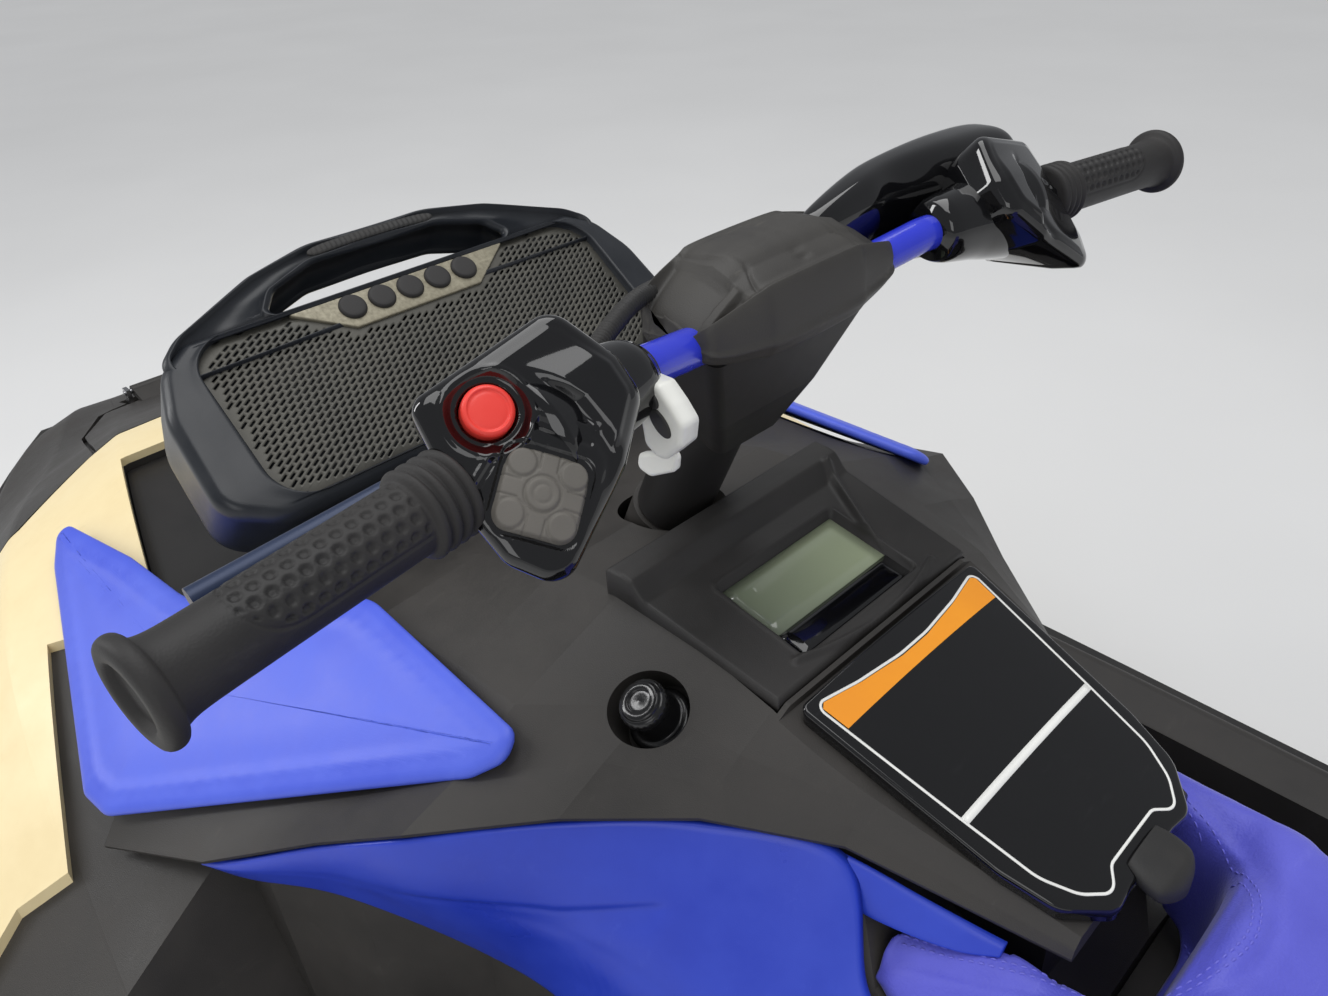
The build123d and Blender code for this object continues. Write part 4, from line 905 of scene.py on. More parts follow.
# Speaker: body with a recessed face, a handle round a gap, a slotted grille and a strip of five buttons

speaker = dict(
    origin=(655, 0, 681), across=(0, -1, 0), normal=(-0.588, 0, 0.809), depth=95,
    body=[(200, -110, 34), (237, -84, 30), (232, 0, 60), (216, 40, 30), (190, 57, 14)],
    ring=[(206, 22, 14), (216, 42, 26), (196, 60, 40), (120, 92, 60), (60, 107, 80)],
    gap=[(118, 58, 10), (104, 74, 16), (60, 88, 40)], gapFoot=52, ringDepth=46, middle=(0, -26),
    ringMiddle=(0, 68), ringCorner=(7, 6), crest=2.4, crestAt=92, crestWidth=22, back=(0.9, 0.86),
    backGain=1.4, backFrom=58, backTo=109, rimWidth=10, rimHeight=12,
    grille=[(194, -102, 34), (194, 50, 34)],
    grilleDepth=6, lip=2.2, bow=1.6, bowHalf=200, slotPitch=9.5, rowPitch=4.2, slotLength=6.9, slotWidth=1.9,
    slotCorner=0.5, slotDepth=1.3, slotTurn=0.52, slotMargin=7, lattice=(32, 56), strip=[(62, 16), (111, 50)],
    buttonPitch=28, buttonRadius=12, buttonUp=35,
    insertHalf=62, insertRibs=26, insertUp=97.5, insertArch=0.00065, insertWidth=4.6, insertBed=1.6,
    ribHeight=0.7)
speakerPlane = Plane(speaker["origin"], speaker["across"], speaker["normal"])


# Corner list of a shape from its starboard half, listed from foot to top
def bothHalves(half):
    return list(half) + [(-c[0],) + tuple(c[1:]) for c in reversed(half)]


# Points of one outline at the bearings of another's points, both seen from a centre
def matched(outline, reference, centre):
    d, e = outline - centre, reference - centre
    bearing = np.arctan2(d[:, 1], d[:, 0])
    order = np.argsort(bearing)
    wrapped = np.concatenate([bearing[order] - 2 * math.pi, bearing[order], bearing[order] + 2 * math.pi])
    reach = np.tile(np.linalg.norm(d, axis=1)[order], 3)
    want = np.arctan2(e[:, 1], e[:, 0])
    r = np.interp(want, wrapped, reach)
    return np.array(centre, float) + np.stack([np.cos(want), np.sin(want)], -1) * r[:, None]


# Outline scaled with depth: full from the face down to a depth, then smaller towards the back
def scaledSection(outline, depth, s):
    t = softStep(depth, s["backFrom"], s["backTo"])
    a = 1 - (1 - s["back"][0]) * t * s["backGain"]
    b = 1 - (1 - s["back"][1]) * t * s["backGain"]
    return outline * np.array([a, b])


# Rows from the back, round the shell, over the rolled rim and down into the grille's recess
def speakerBody(s):
    outline = roundedOutline(bothHalves(s["body"]), 380)
    centre = np.array(s["middle"], float)
    back = scaledSection(outline, s["depth"], s)
    rows = [speakerPlane.lift(centre + (back - centre) * k, -s["depth"]) for k in (0.02, 0.5, 0.93)]
    rows.append(speakerPlane.lift(centre + (back - centre) * 0.985, 2.5 - s["depth"]))
    rows += [speakerPlane.lift(scaledSection(outline, d, s), -d) for d in np.linspace(s["depth"] - 7, 14, 18)]
    wide, high = s["rimWidth"], s["rimHeight"]
    for t in np.linspace(0, math.pi / 2, 10):
        rows.append(speakerPlane.lift(inset(outline, wide * (1 - math.cos(t))), high * math.sin(t) - high))
    rim = inset(outline, wide)
    hole = matched(roundedOutline(bothHalves(s["grille"]), 1600), outline, centre)
    floor = -s["grilleDepth"] - 3
    for k, h in ((0.35, 0.5), (0.7, 0.9), (0.86, s["lip"]), (0.95, s["lip"]), (1.0, 0.6), (1.004, floor)):
        rows.append(speakerPlane.lift(rim + (hole - rim) * k, h))
    rows += [speakerPlane.lift(centre + (hole - centre) * k, floor) for k in (0.7, 0.3, 0.02)]
    return ringSurface("speakerShellPiece", rows)


# Closed ring round the gap: a rounded section between the outer and the inner loop
def speakerHandle(s):
    outer = roundedOutline(bothHalves(s["ring"]), 420)
    centre = np.array(s["ringMiddle"], float)
    hole = [(s["gap"][0][0] - 8, s["gapFoot"], 8)] + s["gap"]
    inner = matched(roundedOutline(bothHalves(hole), 1600), outer, centre)
    width = np.linalg.norm(outer - inner, axis=1)
    t = np.linspace(0, math.pi / 2, 7)
    wide, high = s["ringCorner"]
    corner = [(wide * (1 - math.sin(a)), high * (1 - math.cos(a))) for a in t]
    rows = [(d, 0, -h) for d, h in corner[::-1]] + [(d, 0, h - s["ringDepth"]) for d, h in corner]
    rows += [(d, 1, h - s["ringDepth"]) for d, h in corner[::-1]] + [(d, 1, -h) for d, h in corner]
    rings = []
    crest = s["crest"] * bell(outer[:, 1] - s["crestAt"], s["crestWidth"])
    for d, inward, h in rows + rows[:1]:
        share = np.clip(d / width, 0, 0.5)
        share = 1 - share if inward else share
        ab = outer + (inner - outer) * share[:, None]
        rings.append(speakerPlane.lift(ab, h + crest * (h > -20)))
    return ringSurface("speakerHandlePiece", rings, False, False)


# Ribbed soft insert along the top of the handle
def handleInsert(s):
    x = np.linspace(-s["insertHalf"], s["insertHalf"], 520)
    rib = s["ribHeight"] * np.abs(np.sin(x / (2 * s["insertHalf"]) * math.pi * s["insertRibs"]))
    end = np.sqrt(np.clip(1 - (np.abs(x) / s["insertHalf"]) ** 12, 0, 1))
    section = [(-1, 0), (-0.9, 0.7), (-0.4, 1), (0.4, 1), (0.9, 0.7), (1, 0), (0.6, -1), (-0.6, -1)]
    up = s["insertUp"] - s["insertArch"] * x ** 2
    rings = []
    for a, h in section:
        ab = np.stack([x, up + a * s["insertWidth"] * end], -1)
        rings.append(speakerPlane.lift(ab, s["insertBed"] + h * (0.8 + rib) * (1 if h > 0 else 1.2)))
    return ringSurface("handleInsert", np.stack(rings, 1))


# Cells of the grille: a turned brick lattice, where each cell inside the margins carries one slot
def slotCells(s, outline, stripOutline):
    turn = s["slotTurn"]
    along = np.array([math.cos(turn), math.sin(turn)])
    over = np.array([-math.sin(turn), math.cos(turn)])
    columns, rows = s["lattice"]
    i, j = np.meshgrid(np.arange(-columns, columns + 1), np.arange(-rows, rows + 1), indexing="ij")
    p = (i + 0.5 * (j % 2)) * s["slotPitch"]
    q = j * s["rowPitch"]
    centre = p[..., None] * along + q[..., None] * over + np.array(s["middle"])
    centre = centre.reshape(-1, 2)
    reach = outlineReach(outline, centre)
    keep = reach > -s["slotPitch"] * 0.6
    centre, reach = centre[keep], reach[keep]
    apart = -outlineReach(stripOutline, centre)
    slotted = (reach > s["slotMargin"]) & (apart > s["slotMargin"] - 2)
    hp, hq = s["slotPitch"] / 2, s["rowPitch"] / 2
    frameLocal = np.array([(hp, 0), (hp, hq), (0, hq), (-hp, hq), (-hp, 0), (-hp, -hq), (0, -hq), (hp, -hq)])
    hl, hw = s["slotLength"] / 2, s["slotWidth"] / 2
    flat = hl - s["slotCorner"]
    slotLocal = np.array([(hl, 0), (flat, hw), (0, hw), (-flat, hw), (-hl, 0), (-flat, -hw), (0, -hw),
                          (flat, -hw)])
    basis = np.stack([along, over])
    frameAt = centre[:, None] + frameLocal @ basis
    slotAt = centre[:, None] + slotLocal @ basis
    return slotted, clampInto(outline, frameAt), slotAt


# Distance from points to an outline, positive inside, from its nearest sample
def outlineReach(outline, points):
    points = np.asarray(points, float)
    d = np.linalg.norm(points[:, None] - outline[None], axis=-1)
    near = d.argmin(1)
    x, y = outline.T
    turn = np.sign(np.sum(x * np.roll(y, -1) - np.roll(x, -1) * y))
    tangent = np.roll(outline, -1, 0) - np.roll(outline, 1, 0)
    normal = turn * np.stack([-tangent[:, 1], tangent[:, 0]], -1)
    inside = np.sum((points - outline[near]) * normal[near], axis=1) > 0
    return np.where(inside, 1, -1) * d[np.arange(len(points)), near]


# Points outside an outline moved to its nearest sample
def clampInto(outline, points):
    flat = points.reshape(-1, 2)
    reach = outlineReach(outline, flat)
    d = np.linalg.norm(flat[:, None] - outline[None], axis=-1).argmin(1)
    return np.where(reach[:, None] < 0, outline[d], flat).reshape(points.shape)


# Grille sheet: plain cells as one face of eight corners, slotted cells as a ring of quads round a wall
# that goes down into the slot
def grillePiece(s):
    outline = roundedOutline(bothHalves(s["grille"]), 900)
    strip = roundedOutline(bothHalves([c + (3,) for c in s["strip"]]), 300)
    slotted, frameAt, slotAt = slotCells(s, outline, strip)

    # Sheet bowed forward in its middle and rolled down at its border
    def heightOf(ab):
        bow = s["bow"] * (1 - (ab[..., 0] / s["bowHalf"]) ** 2)
        border = softStep(outlineReach(outline, ab.reshape(-1, 2)).reshape(ab.shape[:-1]), 0, 9)
        return -s["grilleDepth"] + 0.4 + (bow + 1.4) * border

    plain, cut = frameAt[~slotted], frameAt[slotted]
    edge = slotAt[slotted]
    grids = [speakerPlane.lift(ab, heightOf(ab) - down)
             for ab, down in ((plain, 0), (cut, 0), (edge, 0), (edge, s["slotDepth"]))]
    k = np.arange(8)
    faces = (np.arange(len(plain))[:, None] * 8 + k).tolist()
    ring = np.stack([k, (k + 1) % 8], -1)
    start = (len(plain) + np.arange(len(cut))[:, None, None]) * 8
    for outer, inner in ((0, len(cut) * 8), (len(cut) * 8, len(cut) * 16)):
        quad = np.concatenate([ring[None] + start + outer, ring[None, :, ::-1] + start + inner], -1)
        faces += quad.reshape(-1, 4).tolist()
    return meshObject("grilleSheet", np.vstack([grid.reshape(-1, 3) for grid in grids]), faces)


# Brushed strip that follows the sheet, with rolled edges
def stripPiece(s):
    outline = roundedOutline(bothHalves([c + (2.5,) for c in s["strip"]]), 360)
    return platePiece("controlStripPlate", outline, roundRim(5, 1.0), speakerPlane.lift, (0, 34), 4)


# Five turned buttons along the strip, each a low dome with a rolled rim
def stripButtons(s):
    pieces = []
    for k in range(-2, 3):
        at = speakerPlane.lift(np.array([k * s["buttonPitch"], s["buttonUp"]], float))
        r = s["buttonRadius"]
        profile = [(-4, r - 1), (0.2, r - 0.2), (1.8, r - 0.5), (2.9, r - 1.4), (3.3, r - 2.6), (3.5, r - 5),
                   (3.6, 0)]
        pieces.append(turnedPiece(f"stripButton{k + 2}", at, s["normal"], spline(profile, 36), 64))
    return joinPieces("stripButtons", pieces)


place(joinPieces("speakerBody", [speakerBody(speaker), speakerHandle(speaker)]), "craft", "speakerShell",
      ["speaker_body"])
place(handleInsert(speaker), "craft", "blackRubber")
place(grillePiece(speaker), "craft", "grilleCloth", ["speaker_grille"])
place(stripPiece(speaker), "craft", "silverStrip", ["control_strip"])
place(stripButtons(speaker), "craft", "gripRubber")
print("speaker ready")

# Wing panels: a plate in the sloping wing plane, with a wide soft bevel

wing = dict(corner=(212, 587), slope=0.722, thickness=9, bevel=5, bevelRun=2.2,
            foot=[(3.0, 0), (1.2, 0.8), (0.3, 2.4)], crown=2.2, crownFrom=(8, 42), bead=0.8,
            beadAt=15, beadWidth=3.5, middle=(560, 300),
            outline=[(870, 291, 10), (739, 274, 60), (637, 268, 120), (470, 199, 60), (300, 207, 12),
                     (296, 221, 10), (311, 237, 20), (566, 386, 26), (600, 389, 18), (824, 316, 60)])


# Plan point set on the sloping plane; height is measured square to the plane
def slopeLift(s):
    normal = unit([0, s["slope"], 1])

    # z falls from the corner's height by the slope times the way outboard, then h is added square to it
    def lift(ab, h=0.0):
        ab = np.asarray(ab, float)
        z = s["corner"][1] - s["slope"] * (ab[..., 1] - s["corner"][0])
        h = np.broadcast_to(h, z.shape)
        return np.concatenate([ab, z[..., None]], -1) + h[..., None] * normal
    return lift


# Plate with a quarter-round bevel; its height rises to the crown with the distance from the outline, and
# a low bead runs beside the edge
def wingPiece(name, s):
    outline = roundedOutline(s["outline"], 340)
    t = np.linspace(0, math.pi / 2, 8)
    rim = [(inset, up - s["thickness"]) for inset, up in s["foot"]] + [(0, -s["bevel"])]
    rim += [(s["bevelRun"] * s["bevel"] * (1 - math.cos(a)), s["bevel"] * (math.sin(a) - 1)) for a in t[1:]]

    # Smooth rise with the distance from the outline, plus the bead's bell curve on that distance
    def height(ab):
        away = outlineReach(outline[::4], ab.reshape(-1, 2)).reshape(ab.shape[:-1])
        bead = s["bead"] * bell(away - s["beadAt"], s["beadWidth"])
        return s["crown"] * softStep(away, *s["crownFrom"]) + bead
    return platePiece(name, outline, rim, slopeLift(s), s["middle"], 28, height)


wingLeft = wingPiece("wingLeft", wing)
wingRight = mirrored(wingLeft, "wingRight")
place(wingLeft, "craft", "bluePlastic", ["wing_panel_left"])
place(wingRight, "craft", "bluePlastic", ["wing_panel_right"])

# Glovebox lid with its label: gloss plate, orange band, white keyline and divider, rubber latch tab

lid = dict(front=(184, 603), rear=(16, 540), thickness=10,
           outline=[(184, 91, 5), (60, 78, 40), (28, 69, 22), (7, 44, 14), (9, 26, 6)],
           keyline=[(168.5, 14, 90), (172.5, 50, 90), (179, 83, 5), (88, 71, 40), (44, 64.5, 30),
                    (25, 54, 22), (13, 38, 9), (22, 25, 9)],
           lineWidth=1.5, bandRear=158, bandFront=[(0, 168.5), (14, 168.6), (50, 172.7), (83, 179)],
           bandHalf=(78.6, 81.4), bandGap=1.6, bandCorner=3, dividerAt=86, dividerHalf=70.5, dividerWidth=4.6,
           skin=0.35, arch=3.2, archHalf=90, drop=2.0, rim=2.2, middle=(96, 0))


# Point over the sloping top face of the lid: x and y in plan, height above the face
def lidLift(ab, h=0.0):
    ab = np.asarray(ab, float)
    slope = (lid["front"][1] - lid["rear"][1]) / (lid["front"][0] - lid["rear"][0])
    arch = lid["arch"] * (1 - (ab[..., 1] / lid["archHalf"]) ** 2)
    z = lid["rear"][1] + slope * (ab[..., 0] - lid["rear"][0]) + arch - lid["drop"]
    return np.concatenate([ab, (z + h)[..., None]], -1)


# Corner list of a shape from its port half, mirrored about the centre plane
def sideMirrored(half):
    return list(half) + [(c[0], -c[1]) + tuple(c[2:]) for c in reversed(half)]


# Thin raised line along a loop in plan: a low square section carried along it
def ribbon(name, loop, width, lift, skin, closed=True):
    tangent = np.roll(loop, -1, 0) - np.roll(loop, 1, 0)
    if not closed:
        tangent[0], tangent[-1] = loop[1] - loop[0], loop[-1] - loop[-2]
    side = np.stack([-tangent[:, 1], tangent[:, 0]], -1)
    side /= np.linalg.norm(side, axis=1, keepdims=True)
    section = [(-0.5, -0.3), (-0.5, skin), (0.5, skin), (0.5, -0.3)]
    rings = np.stack([lift(loop + side * width * k, h) for k, h in section], 1)
    if closed:
        rings = np.concatenate([rings, rings[:1]])
    return ringSurface(name, rings, not closed, not closed)


# Orange band between the front keyline and a shallow curve: a grid from one edge to the other
def labelBand(s):
    v = np.linspace(-1, 1, 90)
    t = np.linspace(0, 1, 12)[:, None]
    away, edge = zip(*s["bandFront"])
    front = np.interp(np.abs(v) * away[-1], away, edge) - s["bandGap"]
    front = front - s["bandCorner"] * softStep(np.abs(v), 0.955, 1.0)
    x = s["bandRear"] + (front - s["bandRear"]) * t
    y = v * np.interp(x, [s["bandRear"], edge[-1]], s["bandHalf"])
    top = lidLift(np.stack([x, y], -1), s["skin"])
    return meshObject("labelBand", top.reshape(-1, 3), gridFaces(12, 90, False))


lidPlate = platePiece("lidPlate", roundedOutline(sideMirrored(lid["outline"]), 480),
                      roundRim(lid["thickness"], lid["rim"]), lidLift, lid["middle"], 24)
place(lidPlate, "glovebox_lid", "glossBlack", ["glovebox_lid"])
keyline = ribbon("labelKeyline", roundedOutline(sideMirrored(lid["keyline"]), 520), lid["lineWidth"], lidLift,
                 lid["skin"])
dividerRun = np.stack([np.full(30, lid["dividerAt"]), lid["dividerHalf"] * np.linspace(-1, 1, 30)], -1)
divider = ribbon("labelDivider", dividerRun, lid["dividerWidth"], lidLift, lid["skin"], closed=False)
place(joinPieces("labelLines", [keyline, divider]), "glovebox_lid", "labelWhite")
place(labelBand(lid), "glovebox_lid", "labelOrange")

latch = dict(rear=-12, front=16, half=21, height=9, foot=-9, taper=0.45, rows=30, sides=40)


# Rubber tab: a rounded tongue that thickens towards its rear lip
def latchTab(s):
    u = np.linspace(0, 1, s["rows"])[:, None]
    x = s["rear"] + (s["front"] - s["rear"]) * u
    waist = 0.62 + 0.38 * np.sin(math.pi * np.clip(u * 0.62 + 0.18, 0, 1))
    half = s["half"] * waist * quarterRound(u / 0.35, 0.02)
    rise = s["height"] * quarterRound(u / 0.3, 0.02) * (1 - s["taper"] * u)
    cy, cz = squaredCircle(s["sides"], 0.6, 0.6)
    y = half * cy
    high = np.where(cz > 0, rise * cz, -s["foot"] * cz * 0.7) - 1.5
    return ringSurface("latchTab", lidLift(np.stack([np.broadcast_to(x, y.shape), y], -1), high))


place(latchTab(latch), "glovebox_lid", "blackRubber")

# Gauge housing: a grid plate with the window's well, a front ridge, a strut and the arc of the visor

gauge = dict(corners=[(194, 97), (327, 105), (327, -105), (194, -97)], cells=(106, 144), thickness=6,
             roll=2.2, base=(603, 0.2), wellX=(206, 277), wellHalf=58, wellRadius=3, wellDepth=6.5,
             wellLip=0.8, ridgeX=(294, 308), ridgeEnd=(312, 327), ridgeHeight=9,
             strut=[(303, -90), (211, -42)], strutHeight=5.5, strutWidth=3.0,
             arc=[(206, 66), (199, 40), (193, 0), (196, -40), (203, -72)], arcHeight=3.4, arcWidth=2.2,
             displayX=(229, 275), displayGap=2.5, shadeX=(207.5, 228.6), shadeGap=1.5, paneLift=1.6,
             paneThickness=1.2, paneRoll=0.4, paneCells=(6, 12))


# Height over the gauge's sloping top: a step up to the front ridge, the well with its lip, and bell
# curves on the distances from the strut and from the visor's arc
def gaugeHeight(s):
    arc = spline(np.array(s["arc"], float), 80)

    # ab holds x and y in plan
    def height(ab):
        x, y = ab[..., 0], ab[..., 1]
        h = s["ridgeHeight"] * softStep(x, *s["ridgeX"]) * (1 - 0.25 * softStep(x, *s["ridgeEnd"]))
        rear, front = s["wellX"]
        well = roundedBox(x - (rear + front) / 2, y, (front - rear) / 2, s["wellHalf"], s["wellRadius"])
        h = h - s["wellDepth"] * (1 - softStep(well, -0.6, 0.8)) + s["wellLip"] * bell(well - 2.2, 1.2)
        strut = bell(segmentDistance(ab, *s["strut"]), s["strutWidth"])
        h = h + s["strutHeight"] * strut * (well > -1)
        away = np.min(np.linalg.norm(ab[..., None, :] - arc, axis=-1), axis=-1)
        return h + s["arcHeight"] * bell(away, s["arcWidth"])
    return height


# Closed plate over four plan corners: the top follows surface(ab) and rolls down at its border
def quadPlate(name, corners, cells, surface, thickness, roll):
    n, m = cells
    a, b, c, d = [np.array(p, float) for p in corners]
    u = np.linspace(0, 1, n)[:, None, None]
    v = np.linspace(0, 1, m)[None, :, None]
    ab = (a + (b - a) * u) * (1 - v) + (d + (c - d) * u) * v
    along = np.linalg.norm(b - a)
    over = np.linalg.norm(d - a)
    edge = np.minimum(np.minimum(u, 1 - u) * along, np.minimum(v, 1 - v) * over)[..., 0]
    z = surface(ab) - roll * (1 - quarterRound(edge / roll))
    top = np.concatenate([ab, z[..., None]], -1)
    low = np.concatenate([ab, np.full(z.shape + (1,), z.min() - thickness)], -1)
    return meshObject(name, np.vstack([top.reshape(-1, 3), low.reshape(-1, 3)]), blockFaces(n, m))


# Sloping plane under the gauge: its height at the rear edge and its rise towards the bow
def gaugeBase(s, ab):
    return s["base"][0] + s["base"][1] * (ab[..., 0] - s["corners"][0][0])


# Gauge housing's top: the sloping plane with its relief
def gaugePiece(s):
    relief = gaugeHeight(s)
    return quadPlate("gaugePanel", s["corners"], s["cells"], lambda ab: gaugeBase(s, ab) + relief(ab),
                     s["thickness"], s["roll"])


place(gaugePiece(gauge), "craft", "panelPlastic", ["gauge_housing"])


# Display in the front part of the well and the dark glass strip behind it
def windowPanes(s):
    # Four-cornered plate between two places along x, a gap short of the well's sides, over its floor
    def pane(name, ends, gap):
        (x0, x1), half = ends, s["wellHalf"] - gap
        return quadPlate(name, [(x0, half), (x1, half), (x1, -half), (x0, -half)], s["paneCells"],
                         lambda ab: gaugeBase(s, ab) - s["wellDepth"] + s["paneLift"], s["paneThickness"],
                         s["paneRoll"])
    light = pane("displayPane", s["displayX"], s["displayGap"])
    dark = pane("displayShade", s["shadeX"], s["shadeGap"])
    return light, dark


lightPane, darkPane = windowPanes(gauge)
# the display pane's finish holds painted shading across the glass
place(lightPane, "craft", "displayGlassPaintedShade", ["gauge_glass"])
place(darkPane, "craft", "glossBlack")
print("wings, lid and gauge ready")

# Side panels: a shell through console sections, with a rolled top lip, the long crease line and fine ribs

panel = dict(
    x=[55, 96, 131, 196, 253, 320, 378, 440, 472],
    top=[(146, 446), (138, 476), (117, 541), (161, 555), (215, 556), (278, 543), (308, 515), (341, 479),
         (354, 463)],
    crease=[(186, 380), (190, 395), (196, 425), (212, 462), (234, 480), (282, 494), (310, 490), (343, 470),
            (355, 461)],
    low=[(222, 270), (224, 290), (226, 312), (229, 356), (231, 396), (250, 408), (302, 462), (336, 456),
         (351, 455)],
    rows=190, columns=72, wall=6, lip=3, bend=0.22, bulge=3.0, bulgeSpan=60, lineX=[196, 206, 250, 322],
    lineAt=[0.5, 0.55, 0.8, 1.0], lineStart=(194, 204), lineEnd=(316, 334), lineDepth=2.0, lineWidth=2.2,
    stepDepth=1.6, ribPitch=8.5, ribLean=26, ribHeight=0.45, ribStart=(150, 170), ribEnd=(232, 262))


# Skin between three curves along the craft, top edge, crease and low edge: straight in section but for a
# parabola round the crease, then pushed in or out across the craft by bulge, line, step, ribs and lip
def panelPiece(name, s):
    rows = spline(np.column_stack([s["x"], s["top"], s["crease"], s["low"]]), s["rows"])
    x = rows[:, :1]
    top, crease, low = rows[:, None, 1:3], rows[:, None, 3:5], rows[:, None, 5:7]
    t = np.linspace(0, 2, s["columns"])[None, :, None]
    flat = np.where(t < 1, top + (crease - top) * t, crease + (low - crease) * (t - 1))
    start, end = 1 - s["bend"], 1 + s["bend"]
    k = np.clip((t - start) / (end - start), 0, 1)
    early, late = top + (crease - top) * start, crease + (low - crease) * s["bend"]
    bend = early * (1 - k) ** 2 + crease * 2 * k * (1 - k) + late * k ** 2
    yz = np.where((t > start) & (t < end), bend, flat)
    span = np.linalg.norm(crease - top, axis=-1)
    tt = t[..., 0]
    push = s["bulge"] * np.sin(math.pi * np.clip(tt, 0, 1)) * np.clip(span / s["bulgeSpan"], 0, 1)
    line = np.interp(x, s["lineX"], s["lineAt"])
    near = (tt - line) * span
    fade = softStep(x, *s["lineStart"]) * (1 - softStep(x, *s["lineEnd"]))
    push = push - s["lineDepth"] * bell(near, s["lineWidth"]) * fade
    push = push - s["stepDepth"] * softStep(near, 0, 3) * (1 - softStep(near, 4, 26)) * fade
    ribs = softStep(tt, 1.08, 1.25) * softStep(x, *s["ribStart"]) * (1 - softStep(x, *s["ribEnd"]))
    wave = np.abs(np.sin((x + s["ribLean"] * tt) / s["ribPitch"] * math.pi))
    push = push + s["ribHeight"] * wave * ribs
    push = push - s["lip"] * (1 - quarterRound(tt * span / s["lip"]))
    outer = np.concatenate([np.broadcast_to(x[..., None], yz.shape[:2] + (1,)), yz], -1)
    outer[..., 1] += push
    inner = outer[:, ::-1][:, ::6].copy()
    inner[..., 1] -= s["wall"]
    return ringSurface(name, np.concatenate([outer, inner], 1))


blade = dict(rows=[(142, (118, 543), (122, 517)), (118, (109, 536), (117, 507)), (90, (99, 526), (108, 503)),
                   (64, (90, 518), (98, 503)), (46, (84, 513), (88, 506))], wall=5, count=90, sides=72)


# Tapered tail of the side panel along the cover's edge: a flat oval section whose height runs out
def bladePiece(name, s):
    flat = [(r[0],) + r[1] + r[2] for r in s["rows"]]
    run = spline(np.array(flat, float), s["count"])
    c, w = squaredCircle(s["sides"], 0.5, 0.7)
    x, ty, tz, by, bz = [run[:, k][:, None] for k in range(5)]
    y = (ty + by) / 2 + (by - ty) / 2 * -c + w * s["wall"] / 2
    z = (tz + bz) / 2 + (tz - bz) / 2 * c
    return ringSurface(name, np.stack([np.broadcast_to(x, y.shape), y, z], -1))


panelLeft = joinPieces("sidePanelLeft", [panelPiece("panelShell", panel), bladePiece("panelBlade", blade)])
panelRight = mirrored(panelLeft, "sidePanelRight")
place(panelLeft, "craft", "blueSide", ["side_panel_left"])
place(panelRight, "craft", "blueSide", ["side_panel_right"])

# Seat cushions: the CAD solid remeshed, drawn in, blown up by the cloth solver and capped, then seamed

cushion = dict(voxel=0.0095, ease=0.5, easeTimes=6, drawIn=0.004, pressure=4.0, frames=20, cap=0.017,
               sideCap=0.006, patternFrom=(0.35, 0.8))


# Normals at the vertices of a mesh as one array
def meshNormals(mesh):
    no = np.zeros(len(mesh.vertices) * 3)
    mesh.vertex_normals.foreach_get("vector", no)
    return no.reshape(-1, 3)


# The object's mesh with its modifiers taken in, as a new mesh
def evaluated(obj):
    graph = bpy.context.evaluated_depsgraph_get()
    return bpy.data.meshes.new_from_object(obj.evaluated_get(graph))


# Vertices of a mesh set to new places
def movePoints(mesh, points):
    mesh.vertices.foreach_set("co", points.ravel())
    mesh.update()


# Cushion from the CAD solid: voxels, drawn in along the normals, blown up by the cloth solver, each move
# held under a cap by a hyperbolic tangent, then raised by the sewn pattern where the normal points up
def cushionPiece(name, node, s, lift):
    obj = bpy.data.objects.new(name, nodes[node].data.copy())
    bpy.context.scene.collection.objects.link(obj)
    remesh = obj.modifiers.new("voxels", "REMESH")
    remesh.mode = "VOXEL"
    remesh.voxel_size = s["voxel"]
    smooth = obj.modifiers.new("ease", "SMOOTH")
    smooth.factor = s["ease"]
    smooth.iterations = s["easeTimes"]
    mesh = evaluated(obj)
    obj.modifiers.clear()
    obj.data = mesh
    start = meshPoints(mesh) - meshNormals(mesh) * s["drawIn"]
    movePoints(mesh, start)
    cloth = obj.modifiers.new("fill", "CLOTH")
    cloth.settings.use_pressure = True
    cloth.settings.uniform_pressure_force = s["pressure"]
    cloth.settings.effector_weights.gravity = 0
    cloth.point_cache.frame_end = s["frames"]
    for frameNumber in range(1, s["frames"] + 1):
        bpy.context.scene.frame_set(frameNumber)
    blown = meshPoints(evaluated(obj))
    obj.modifiers.clear()
    bpy.context.scene.frame_set(1)
    move = blown - start
    upward = np.clip(meshNormals(mesh)[:, 2:], 0, 1)
    cap = s["sideCap"] + (s["cap"] - s["sideCap"]) * upward ** 2
    length = np.maximum(np.linalg.norm(move, axis=1, keepdims=True), 1e-9)
    move *= np.tanh(length / cap) * cap / length
    movePoints(mesh, start + move)
    finer = obj.modifiers.new("finer", "SUBSURF")
    finer.levels = finer.render_levels = 1
    mesh = evaluated(obj)
    obj.modifiers.clear()
    obj.data = mesh
    points = meshPoints(mesh)
    up = softStep(meshNormals(mesh)[:, 2], *s["patternFrom"])
    points[:, 2] += up * lift(points / mm) * mm
    movePoints(mesh, points)
    mesh.polygons.foreach_set("use_smooth", np.ones(len(mesh.polygons), bool))
    return obj


